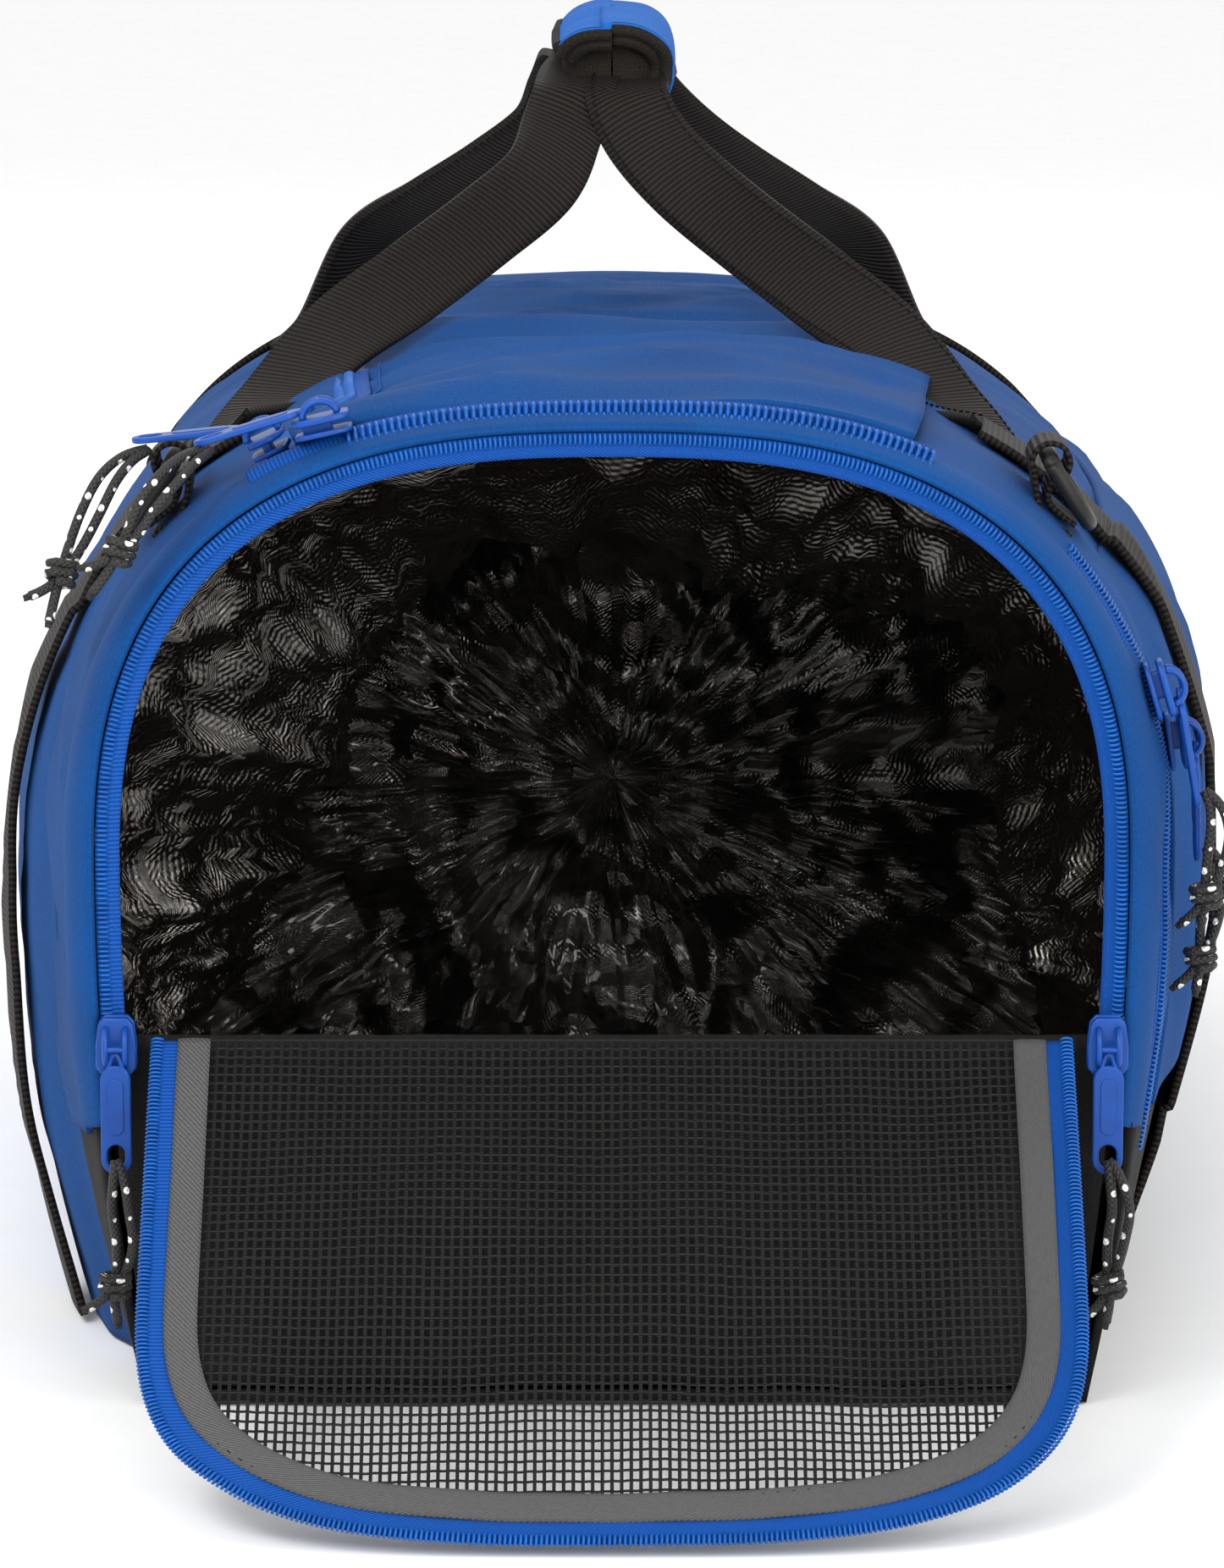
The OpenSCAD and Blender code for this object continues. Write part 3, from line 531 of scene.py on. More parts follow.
def make_cord(name, route):
    body = name.replace("cord", "pull") + "_body"
    points = [Vector(p) * MM for p in route]
    line = evenly(catmull(points, 8), 1.5 * MM)
    main = tube_mesh(name + "_run", line, CORD_D / 2, M["cord"], body, 10)
    knot_index = int(KNOT_AT * (len(line) - 1))
    knot, along = line[knot_index], tangents(line)[knot_index]
    side = along.cross(Vector((0, 1, 0.1))).normalized()
    # the return strand of the loop, beside the first and crossing it into the knot
    back = [p + side * (0.2 + 5.2 * math.sin(math.pi * (i / knot_index)) ** 0.7) * MM
            + Vector((0, -2.2 * MM * math.sin(math.pi * i / knot_index), 0))
            for i, p in enumerate(line[:knot_index + 1])]
    tail = [knot + along * k * 9 * MM - side * k * (2 + 5 * k) * MM for k in spread(0.1, 1, 6)]
    strand = tube_mesh(name + "_back", back, CORD_D / 2, M["cord"], body, 10)
    second = tube_mesh(name + "_tail", tail, CORD_D / 2, M["cord"], body, 10)
    wraps = tube_mesh(name + "_wraps", knot_line(knot, along), CORD_D / 2, M["cord"], body, 10)
    fray_a = frayed_end(name + "_fray_a", line[-1], tangents(line)[-1], body)
    fray_b = frayed_end(name + "_fray_b", tail[-1], tangents(tail)[-1], body)
    knot_piece = join_meshes(name + "_knot", [wraps, strand, second, fray_a, fray_b], body)
    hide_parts(name)


make_camera()
for cord_name, cord_route in CORDS.items():
    make_cord(cord_name, cord_route)


# ---------------------------------------------------------------- cloth shell
def shell_point(s, u, lift=0.0, folds=1.0, seed=0.0):
    """A point of the cloth, wrinkled along its normal."""
    p = skin(s, u)
    n = skin_normal(s, u)
    top = smooth((1.0 - abs(u)) * 1.4)
    fold = creases(p, (5, 17, 6), 3.8 * MM, seed) * top + creases(p, (5, 11, 15), 3.2 * MM, seed + 7) * (1 - top)
    fade = smooth(s * 22) * smooth((1 - s) * 22)
    nearest = min(abs(s - WEB_FRONT), abs(s - WEB_REAR))
    fade *= 1 - 0.85 * math.exp(-(nearest / 0.06) ** 2) * smooth((abs(u) - 0.22) / 0.08)   # held by the webbing
    under = smooth((abs(u) - 0.52) / 0.1) * smooth((s - 0.10) * 20) * smooth((0.92 - s) * 20)
    fold = lerp(fold, 0.25 * fold - 1.5 * MM, under)                                       # cloth under a pocket
    return p + n * (lift + fold * folds * fade)


def cloth(name, s_range, u_range, ns, nu, material, body, node=None, lift=0.0, folds=1.0, thick=2.4 * MM):
    rows = [[shell_point(s, u, lift, folds) for u in spread(*u_range, nu)] for s in spread(*s_range, ns)]
    piece = sheet_mesh(name, rows, material, body, thick, outward=-1)
    if node:
        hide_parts(*([node] if isinstance(node, str) else node))
    return piece


def piping(name, line, radius, material, body):
    piece = tube_mesh(name, line, radius, material, body, 8)
    return piece


def stitch_shape(length=2.4 * MM, width=0.75 * MM, height=0.5 * MM):
    """One stitch: a short thread that dips at both ends."""
    verts, sides, rings = [], 6, 5
    for i in range(rings):
        k = i / (rings - 1)
        r = math.sin(math.pi * (0.12 + 0.76 * k))
        for j in range(sides):
            w = 2 * math.pi * j / sides
            verts.append((lerp(-length, length, k) / 2, width / 2 * r * math.cos(w), height * r * math.sin(w)))
    faces = grid_faces(rings, sides, closed=True)
    faces += [tuple(range(sides))[::-1], tuple((rings - 1) * sides + j for j in range(sides))]
    return verts, faces


def stitch_line(name, line, normals, material, body, pitch=3.4 * MM):
    """A row of stitches along a line that has a normal at each point."""
    even = evenly(line, pitch)
    source = np.array([tuple(p) for p in line])
    places = []
    for p, t in zip(even, tangents(even)):
        n = normals[int(np.argmin(np.sum((source - np.array(tuple(p))) ** 2, axis=1)))]
        y = n.cross(t).normalized()
        places.append((p + n * 0.15 * MM, t, y, n))
    piece = many(name, stitch_shape(), places, material, body)
    return piece


def side_cloth(side, word):
    """The blue cloth of one side, from the lid's edge down to the black lower fabric."""
    rows = []
    for s in spread(0.022, 0.992, 120):
        top = LID_RIGHT + 0.03 if side > 0 else 0.03 - lid_edge(s)
        rows.append([shell_point(s, side * u) for u in spread(top, BASE_U + 0.02, 70)])
    piece = sheet_mesh(f"side_cloth_{word}", rows, M["shell"], "bag", 2.4 * MM, outward=-side)
    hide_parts(f"side_panel_{word}")


def make_shell():
    for side, word in ((-1, "left"), (1, "right")):
        side_cloth(side, word)
        cloth(f"base_side_cloth_{word}", (0.004, 0.994), (side * (BASE_U - 0.01), side * 1.995), 110, 18,
              M["base"], "bag", f"base_side_{word}", lift=0.8 * MM, folds=0.8)
        places = [(s, side * (BASE_U - 0.015)) for s in spread(0.01, 0.99, 160)]
        seam = [shell_point(s, u, 1.2 * MM) - UP * 3 * MM for s, u in places]
        stitch_line(f"base_stitches_{word}", seam, [skin_normal(s, u) for s, u in places], M["stitch"], "bag")
    cloth("rear_yoke_cloth", (LID_REAR + 0.004, 0.992), (LID_LEFT - 0.032, LID_RIGHT + 0.032), 10, 40,
          M["shell"], "bag", "rear_yoke", folds=0.6)


make_shell()


# ---------------------------------------------------------------- zip coils
def coil_shape(width=3.4 * MM, height=1.9 * MM, wire=0.42 * MM):
    """One turn of a coil: an oval of wire, lying across X with its free end at +X."""
    turns, sides = 9, 5
    verts = []
    for i in range(turns):
        w = 2 * math.pi * i / turns
        cx, cz = math.cos(w) * width / 2, math.sin(w) * height / 2
        normal = Vector((math.cos(w) / width, 0, math.sin(w) / height)).normalized()
        for j in range(sides):
            a = 2 * math.pi * j / sides
            q = Vector((cx, math.sin(w) * wire * 0.5, cz)) + normal * math.cos(a) * wire
            q.y += math.sin(a) * wire
            verts.append(q)
    faces = []
    for i in range(turns):
        for j in range(sides):
            k, m = (i + 1) % turns, (j + 1) % sides
            faces.append((i * sides + j, i * sides + m, k * sides + m, k * sides + j))
    return verts, faces


def coil(name, line, normals, body, pitch=1.45 * MM, lift=1.3 * MM, flip=1, size=1.0):
    """A nylon coil along a line; normals point out of the tape, and the free side is across."""
    even = evenly(line, pitch * size)
    source = np.array([tuple(p) for p in line])
    places = []
    for p, t in zip(even, tangents(even)):
        n = normals[int(np.argmin(np.sum((source - np.array(tuple(p))) ** 2, axis=1)))]
        n = (n - t * n.dot(t)).normalized()
        x = n.cross(t) * flip
        places.append((p + n * lift, x, t, n))
    piece = many(name, coil_shape(3.4 * MM * size, 1.9 * MM * size, 0.42 * MM * size), places, M["coil"], body)
    return piece


def tape(name, line, normals, half, body, node=None, lift=0.6 * MM, thick=0.7 * MM, arch=0.0, material=None):
    """A flat tape along a line with the given half width, ribbed across."""
    directions = tangents(line)
    rows = []
    for p, t, n in zip(line, directions, normals):
        n = (n - t * n.dot(t)).normalized()
        side = n.cross(t)
        rows.append([p + side * k * half + n * (lift + arch * (1 - k * k)) for k in spread(-1, 1, 6)])
    piece = sheet_mesh(name, rows, material or M["tape"], body, thick)
    if node:
        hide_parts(node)
    return piece


def arch_line(inset, s=0.0, out=0.0, u_end=FOLD_U, n=220):
    """The opening's outline, inset toward its middle and moved forward by out."""
    return [skin(s, u, inset) - Vector((0, out, 0)) for u in spread(-u_end, u_end, n)]


FORWARD = Vector((0, -1, 0))


def make_end_zip():
    """Narrow zip tape round the opening with its open coil, and the blue collar behind it."""
    middle = arch_line(3.6 * MM, out=-0.8 * MM)
    facing = [FORWARD] * len(middle)
    tape("opening_zip_tape", middle, facing, 3.6 * MM, "bag", "end_zip_tape")
    coil("opening_coil", arch_line(1.9 * MM, out=-1.0 * MM), facing, "bag", flip=-1)
    stitch_line("opening_stitches", arch_line(5.6 * MM, out=0.0), facing, M["blue_stitch"], "bag")
    rows = []
    for i, s in enumerate(spread(-0.002, 0.034, 8)):
        lift = 0.4 * MM + 1.2 * MM * math.sin(math.pi * i / 8)
        rows.append([shell_point(max(0, s), u, lift, 0.3) + Vector((0, min(0, s) * LENGTH, 0))
                     for u in spread(-BASE_U, BASE_U, 240)])
    collar = sheet_mesh("collar_cloth", rows, M["shell"], "bag", 2 * MM, outward=-1)
    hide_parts("front_collar")


def surface_strip(s_of, u_of, n, lift):
    """A line on the skin with its normals; s_of and u_of give the place at k in 0..1."""
    line, normals = [], []
    for k in spread(0, 1, n):
        s, u = s_of(k), u_of(k)
        line.append(shell_point(s, u, lift, 0.5))
        normals.append(skin_normal(s, u))
    return line, normals


def closed_zip(name, line, normals, body, node=None, half=8 * MM, coil_from=0, size=1.0):
    """A closed zip: two coils meeting on a tape, closed from a given point of the line onward."""
    tape(name + "_tape", line, normals, half, body, node)
    sides = [n.cross(t).normalized() for n, t in zip(normals, tangents(line))]
    for flip in (-1, 1):
        moved = [p + side * flip * 1.55 * size * MM for p, side in zip(line, sides)]
        coil(f"{name}_coil_{'ab'[flip > 0]}", moved[coil_from:], normals[coil_from:], body,
             lift=1.5 * MM, flip=flip, size=size)


def make_top_zip():
    """The main zip: across the front, down the left side of the lid and across the rear."""
    line, normals = surface_strip(lambda k: 0.016, lambda k: lerp(LID_CORNER - 0.09, 0.33, k), 120, 0.0)
    raised = [p + (UP * 1.6 + FORWARD * 1.0) * MM for p in line]
    leaning = [(n + FORWARD * 0.75).normalized() for n in normals]
    closed_zip("top_front_zip", raised, leaning, "bag", "top_zip_tape", half=6.5 * MM, coil_from=24, size=1.5)
    left, normals = surface_strip(lambda k: lerp(0.04, 0.93, k), lambda k: lid_edge(lerp(0.04, 0.93, k)) - 0.03, 200,
                                  0.8 * MM)
    closed_zip("top_left_zip", left, normals, "bag")
    rear, normals = surface_strip(lambda k: LID_REAR + 0.012, lambda k: lerp(LID_LEFT, LID_RIGHT, k), 80, 0.8 * MM)
    closed_zip("top_rear_zip", rear, normals, "bag")


def make_side_zip():
    line, normals = surface_strip(lambda k: SIDE_ZIP_S, lambda k: lerp(0.56, 1.52, k), 150, 1.0 * MM)
    closed_zip("side_zip", line, normals, "bag", "side_zip_right")


make_end_zip()
make_top_zip()
make_side_zip()


# ---------------------------------------------------------------- lid
def make_lid():
    rows = []
    for s in spread(LID_FRONT - 0.002, LID_REAR + 0.002, 110):
        row = []
        for u in spread(lid_edge(s) - 0.005, LID_RIGHT + 0.035, 46):
            edge = min(smooth((s - LID_FRONT) * 26), smooth((LID_REAR - s) * 26), smooth((u - lid_edge(s)) * 14))
            row.append(shell_point(s, u, (0.8 + 3.4 * edge) * MM, 2.0, 3.0))
        rows.append(row)
    lid = sheet_mesh("lid_cloth", rows, M["shell"], "lid", 2.4 * MM, outward=-1)
    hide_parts("top_lid", "lid_zip_tape")
    for name, s_of, u_of, n in (
            ("lid_stitches_front", lambda k: LID_FRONT + 0.006, lambda k: lerp(LID_CORNER + 0.01, LID_RIGHT, k), 80),
            ("lid_stitches_left", lambda k: lerp(LID_FRONT + 0.006, LID_REAR - 0.006, k),
             lambda k: lid_edge(lerp(LID_FRONT + 0.006, LID_REAR - 0.006, k)) + 0.012, 200),
            ("lid_stitches_hinge", lambda k: lerp(LID_FRONT + 0.004, LID_REAR - 0.004, k), lambda k: LID_RIGHT - 0.01, 200)):
        line, normals = surface_strip(s_of, u_of, n, 2.6 * MM)
        stitch_line(name, line, normals, M["blue_stitch"], "lid")


make_lid()


# ---------------------------------------------------------------- wet compartment
def crumple(p, seed):
    """Sharp facets like creased sheet plastic: large folds first, then small ones."""
    value = 0.0
    for scale, depth in ((9, 12.0), (20, 9.0), (44, 5.4), (95, 2.8)):
        q = Vector((p[0] * scale + seed, p[1] * scale * 0.8, p[2] * scale))
        warp = noise.noise(q * 0.6 + Vector((5.2, 1.3, 0))) * 1.2
        ridge = 1 - 2 * abs(noise.noise(q + Vector((warp, warp, 0))))
        value += depth * (ridge ** 2 - 0.5)
    return value * MM


def liner_inset(s):
    return 6 * MM + 12 * MM * (s - LINER_FRONT) / (LINER_REAR - LINER_FRONT)


def liner_billow(p, depth):
    """How far the loose sheet hangs into the opening behind its rim: most on the left, least at the floor."""
    across = p.x / (FLAP_HALF + 10 * MM)
    amount = lerp(50, 34, 0.5 + 0.5 * max(-1.0, min(1.0, across))) * smooth((p.z - 0.03) / 0.10)
    patchy = 0.75 + 0.7 * noise.noise(Vector((p.x * 11, p.y * 7, p.z * 11)))
    throat = smooth(depth / (80 * MM)) * (1 - 0.85 * smooth((depth - 110 * MM) / (110 * MM)))
    return 1.15 * amount * MM * throat * patchy


def liner_loop(s, n):
    """One ring of the liner: over the arch and along the floor."""
    inset = liner_inset(s)
    arch = [skin(s, u, inset) for u in spread(-1.93, 1.93, n)]
    floor = [arch[-1].lerp(arch[0], k) for k in spread(0, 1, n // 4)][1:-1]
    return arch + floor


def make_liner():
    """Crinkled sheet with sharp creases, smooth only in its seam with the zip."""
    n_arch, n_deep = 260, 110
    first = LINER_FRONT - 0.022
    rows = []
    for k in spread(0, 1, n_deep):
        s = lerp(first, LINER_REAR, k ** 1.35)
        loop = [Vector((p.x, FRONT + s * LENGTH, p.z)) for p in liner_loop(max(s, LINER_FRONT), n_arch)]
        center = Vector((0, loop[0].y, 0.14))
        hold = smooth(k ** 1.5 * 40)
        row = []
        for p in loop:
            inward = (center - p).normalized()
            jitter = noise.noise_vector(p * 260) * 1.1 * MM * hold
            deep = max(0.0, (s - LINER_FRONT) * LENGTH)
            fold = (crumple(p, 0.0) + 4 * MM) * hold + liner_billow(p, deep)
            row.append(p + jitter + inward * (1.2 * MM + max(-2.0 * MM, fold)))
        rows.append(row)
    back_center = Vector((0, rows[-1][0].y, 0.13))
    for k in spread(0.08, 1, 22):
        row = []
        for p in rows[n_deep]:
            q = p.lerp(back_center, k)
            row.append(q + Vector((0, -crumple(q, 9.0) * 1.6 - 6 * MM * math.sin(math.pi * k), 0)))
        rows.append(row)
    liner = sheet_mesh("tarpaulin_liner", rows, M["tarp"], "bag", closed=True, outward=1)
    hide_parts("liner_roof", "liner_left", "liner_right", "liner_floor", "liner_back")


make_liner()


# ---------------------------------------------------------------- end flap
FLAP_DOWN = Vector((0, -math.cos(FLAP_SLOPE), -math.sin(FLAP_SLOPE)))
FLAP_OUT = Vector((0, -math.sin(FLAP_SLOPE), math.cos(FLAP_SLOPE)))


def flap_half_width(v, inset=0.0):
    """Half width of the flap at a distance v from the fold."""
    mid = FLAP_LEN / 2
    if v <= mid:
        return FLAP_HALF - inset
    k = min(1.0, (v - mid) / (FLAP_LEN - inset - mid))
    return (FLAP_HALF - inset) * max(0.0, 1 - k ** FLAP_POWER) ** (1 / FLAP_POWER)


def flap_point(x, v, out=0.0):
    """A point of the flap with its slack, from its place across and down from the fold."""
    edge = smooth((FLAP_LEN - v) / (30 * MM)) * smooth((FLAP_HALF - abs(x)) / (30 * MM)) * smooth(v / (25 * MM))
    slack = (3.6 * MM * noise.noise(Vector((x * 13, v * 17, 0.5)))
             + 1.4 * MM * noise.noise(Vector((x * 42, v * 26, 4.5)))) * (0.2 + 0.8 * edge) * smooth(v / (12 * MM))
    return Vector((x, HINGE_Y, FOLD_Z)) + FLAP_DOWN * v + FLAP_OUT * (out + slack)


def flap_edge_line(inset, n=260):
    """The flap's outline from the left end of the fold round the tip to the right end."""
    mid, half, reach = FLAP_LEN / 2, FLAP_HALF - inset, FLAP_LEN / 2 - inset
    flat = [(-half, v) for v in spread(3 * MM, mid, 40)][:-1]
    for a in spread(math.pi, 0, n):
        c = math.cos(a)
        flat.append((math.copysign(half * abs(c) ** (2 / FLAP_POWER), c),
                     mid + reach * math.sin(a) ** (2 / FLAP_POWER)))
    flat += [(half, v) for v in spread(mid, 3 * MM, 40)][1:]
    return flat


def flap_line(inset, out=0.0, wave=0.0):
    points = [flap_point(x, v, out) for x, v in flap_edge_line(inset)]
    if wave:
        points = [p + FLAP_OUT * wave * noise.noise(p * 45) for p in points]
    return points


def make_flap_mesh():
    """The net itself: crossing threads, thicker down than across, in one mesh."""
    cell_x, cell_v = 2.7 * MM, 3.4 * MM
    inset = FLAP_TAPE + 3 * MM
    verts, faces = [], []

    def thread(points, width, depth):
        start = len(verts)
        for i, (p, side) in enumerate(points):
            lift = FLAP_OUT * (0.14 * MM if i % 2 else -0.14 * MM)
            verts.extend([p + side * width + lift, p + FLAP_OUT * depth + lift,
                          p - side * width + lift, p - FLAP_OUT * depth + lift])
        n = len(points)
        for i in range(n - 1):
            for j in range(4):
                k = (j + 1) % 4
                a = start + i * 4
                faces.append((a + j, a + k, a + 4 + k, a + 4 + j))
        faces.append((start + 3, start + 2, start + 1, start))
        last = start + (n - 1) * 4
        faces.append((last, last + 1, last + 2, last + 3))

    columns = int((FLAP_HALF - inset) / cell_x)
    across, down = Vector((1, 0, 0)), FLAP_DOWN
    for c in range(-columns, columns + 1):
        x = c * cell_x
        vs = [v for v in spread(1.5 * MM, FLAP_LEN - inset, int((FLAP_LEN - inset) / cell_v))
              if flap_half_width(v, inset) >= abs(x)]
        if len(vs) > 2:
            thread([(flap_point(x, v), across) for v in vs], 0.52 * MM, 0.3 * MM)
    for v in spread(1.5 * MM, FLAP_LEN - inset, int((FLAP_LEN - inset) / cell_v)):
        half = flap_half_width(v, inset)
        count = int(2 * half / cell_x)
        if count > 2:
            thread([(flap_point(x, v), down) for x in spread(-half, half, count)], 0.46 * MM, 0.3 * MM)
    mesh = bpy.data.meshes.new("flap_net")
    mesh.from_pydata(verts, [], faces)
    set_uv(mesh, [(p[0], p[2]) for p in verts])
    net = add_object("flap_net", mesh, M["mesh"], "end_flap")
    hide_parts("flap_mesh")
    return net


def make_flap():
    net = make_flap_mesh()
    out_normals = [FLAP_OUT] * len(flap_edge_line(0))
    border = tape("flap_binding_tape", flap_line(FLAP_TAPE + BINDING / 2 - 1.4 * MM, 0.3 * MM, 0.6 * MM), out_normals,
                  BINDING / 2 + 0.2 * MM, "end_flap", "flap_binding", thick=1.2 * MM, arch=0.3 * MM,
                  material=M["binding"])
    tape("flap_zip_cloth", flap_line(FLAP_TAPE / 2 + 1.4 * MM, 0.2 * MM), out_normals, FLAP_TAPE / 2,
         "end_flap", "flap_zip_tape")
    coil("flap_coil", flap_line(2.2 * MM, 0.4 * MM), out_normals, "end_flap", flip=-1)
    for name, inset in (("flap_stitches_inner", FLAP_TAPE + BINDING - 2.8 * MM),
                        ("flap_stitches_outer", FLAP_TAPE + 0.4 * MM)):
        stitch_line(name, flap_line(inset, 1.5 * MM, 0.6 * MM), out_normals, M["stitch"], "end_flap",
                    pitch=4.2 * MM)


make_flap()


# ---------------------------------------------------------------- front lower panel, rear panel and base
def make_ends():
    rows = []
    for z in spread(6 * MM, FOLD_Z - 1 * MM, 24):
        half = skin(0, 2 - z / BELT_FRONT).x - 2 * MM
        rows.append([Vector((x, FRONT + 0.6 * MM + creases((x, 0, z), (22, 1, 30), 1.4 * MM), z))
                     for x in spread(-half, half, 60)])
    front = sheet_mesh("front_lower_cloth", rows, M["base"], "bag", 2 * MM)
    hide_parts("front_lower_panel")

    rows = []
    centre = Vector((0, REAR, 0.13))
    arch = [skin(1, u, 1.0 * MM) for u in spread(-2, 2, 200)]
    outline = arch + [arch[-1].lerp(arch[0], k) for k in spread(0, 1, 50)][1:-1]
    for k in spread(0, 1, 40):
        row = []
        for rim in outline:
            p = rim.lerp(centre, k)
            dome = 7 * MM * math.sin(math.pi / 2 * min(1, k * 1.6)) * smooth((p.z - 0.055) / 0.04)
            row.append(p + Vector((0, dome - 1.0 * MM + creases(p, (14, 1, 12), 2.4 * MM, 5) * smooth(k * 5) * smooth((p.z - 0.055) / 0.04), 0)))
        rows.append(row)
    rear = sheet_mesh("rear_end_cloth", rows, M["shell"], "bag", 2 * MM, closed=True, outward=-1)
    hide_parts("rear_end_panel")

    rows = []
    for z in spread(1 * MM, 76 * MM, 16):
        half = skin(1, 2 - z / BELT_FRONT).x
        rows.append([Vector((x, REAR + 6.5 * MM * (1 - (x / half) ** 4) ** 0.5 * smooth(z / (60 * MM) + 0.25) + 0.6 * MM, z))
                     for x in spread(-half, half, 70)])
    low = sheet_mesh("rear_base_cloth", rows, M["base"], "bag", 2 * MM, outward=-1)
    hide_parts("base_rear")

    rows = []
    for s in spread(0.004, 0.996, 90):
        half = skin(s, 2).x - 0.5 * MM
        rows.append([Vector((x, FRONT + s * LENGTH, 0.6 * MM + abs(creases((x, s * LENGTH, 0), (20, 20, 1), 0.9 * MM))))
                     for x in spread(-half, half, 50)])
    base = sheet_mesh("base_cloth_under", rows, M["base"], "bag", 2.2 * MM, outward=-1)
    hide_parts("base_panel")
    outline = [Vector((skin(s, 2).x - 1 * MM, FRONT + s * LENGTH, 2.6 * MM)) for s in spread(0.002, 0.998, 90)]
    outline += [Vector((-skin(s, 2).x + 1 * MM, FRONT + s * LENGTH, 2.6 * MM)) for s in spread(0.998, 0.002, 90)]
    outline.append(outline[0])
    piping("base_piping", evenly(outline, 5 * MM), 2.2 * MM, M["base"], "bag")
    rim = [skin(1, u, -0.5 * MM) + Vector((0, 1.5 * MM, 0)) for u in spread(-1.53, 1.53, 200)]
    piping("rear_piping", rim, 2.4 * MM, M["shell"], "bag")


make_ends()


# ---------------------------------------------------------------- side pockets and sewn webbing
def pocket_end(s):
    k = (s - POCKET_FRONT) / (POCKET_REAR - POCKET_FRONT)
    return max(0.0, math.sin(math.pi * min(1, max(0, k)))) ** 0.5


def pocket_right(s, u):
    inside = POCKET_FRONT < s < POCKET_REAR and 0.6 < u < 1.5
    return (2 + 6 * pocket_end(s) * math.sin(math.pi * (u - 0.6) / 0.9)) * MM if inside else 0.0


def pocket_left(s, u):
    if not (POCKET_FRONT < s < POCKET_REAR and u > 0.7):
        return 0.0
    bulge = 8 * math.sin(math.pi / 2 * (u - 0.7) / 0.5) if u < 1.2 else lerp(8, 26, ((u - 1.2) / 0.8) ** 1.3)
    return (2 + pocket_end(s) * bulge) * MM


def outward(side):
    return Vector((side, 0, 0))


def make_pockets():
    for side, word, u0, u1, depth in ((1, "right", 0.6, 1.45, pocket_right), (-1, "left", 0.7, 1.995, pocket_left)):
        rows = []
        for i, s in enumerate(spread(POCKET_FRONT, POCKET_REAR, 110)):
            row = []
            for j, u in enumerate(spread(u0, u1, 60)):
                ks, ku = i / 110, j / 60
                rim = smooth(ks * 16) * smooth((1 - ks) * 16) * smooth(ku * 12)
                rim *= smooth((1 - ku) * 12) if side > 0 else 1
                p = skin(s, side * u)
                n = skin_normal(s, side * u) if side > 0 else outward(side)
                inner = min(max(s, POCKET_FRONT + 1e-4), POCKET_REAR - 1e-4), min(max(u, u0 + 1e-4), u1 - 1e-4)
                fold = creases(p, (5, 11, 9), 3.0 * MM, 11)
                row.append(p + n * (0.6 * MM + (depth(*inner) + fold) * (0.15 + 0.85 * rim)))
            rows.append(row)
        piece = sheet_mesh(f"side_pocket_{word}_cloth", rows, M["shell"], "bag", 2 * MM, outward=side * -1 if side > 0 else -1)
        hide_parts(f"side_pocket_{word}")


make_pockets()


def webbing_rows(line, across, widths, thickness=0.0, cup=0.0):
    rows = []
    for p, t, a, w in zip(line, tangents(line), across, widths):
        a = (a - t * a.dot(t)).normalized()
        n = t.cross(a)
        rows.append([p + a * k * w / 2 + n * cup * (1 - k * k) for k in spread(-1, 1, 8)])
    return rows


def make_side_webbing():
    for s_mid, end in ((WEB_FRONT, "front"), (WEB_REAR, "rear")):
        for side, word in ((-1, "left"), (1, "right")):
            half = WEB_W / 2 / LENGTH
            depth = pocket_left if side < 0 else pocket_right
            rows = []
            for u in spread(FOOT_U + 0.01, 1.98 if side < 0 else 1.94, 220):
                row = []
                for s in spread(s_mid - half, s_mid + half, 10):
                    p = skin(s, side * u)
                    n = outward(side) if side < 0 and u > 0.7 else skin_normal(s, side * u)
                    on_pocket = smooth((u - 0.55) / 0.1)
                    lift = depth(s, u) + 3.6 * MM + creases(p, (5, 11, 9), 3.0 * MM, 11) * on_pocket
                    row.append(p + n * max(lift, 1.6 * MM) + outward(side) * 0.6 * MM)
                rows.append(row)
            name = f"side_webbing_{word}_{end}"
            piece = sheet_mesh(name + "_strap", rows, M["webbing"], "bag", WEB_T, outward=side)
            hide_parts(name)


make_side_webbing()


# ---------------------------------------------------------------- handles and grip
FOOT_FRONT = skin(WEB_FRONT, 0.40, -4.5 * MM)
FOOT_REAR = skin(WEB_REAR, 0.40, -4.5 * MM)
SHOULDER_FRONT, SHOULDER_REAR = (104, -178, 283), (103, 172, 262)
CLIMB = [(86, 150, 299), (64, 125, 313), (41, 101, 328), (23, 85, 342)]      # x, distance from mid-length, z
CLIMB_TWIST = [(0.72, 0.4, 0.5), (0.6, 0.15, 0.78), (0.55, 0.05, 0.84), (0.75, 0.05, 0.66)]
# where each handle's webbing turns into the grip: the right one lies in front of the left one
MOUTH = {1: [(10, 70, 356), (4.5, 57, 369)], -1: [(16, 66, 357), (12, 53, 368)]}
MOUTH_TWIST = [(0.95, 0, 0.3), (1, 0, 0.06)]
INSIDE = {1: (9, 22, 373), -1: (10, 22, 372)}


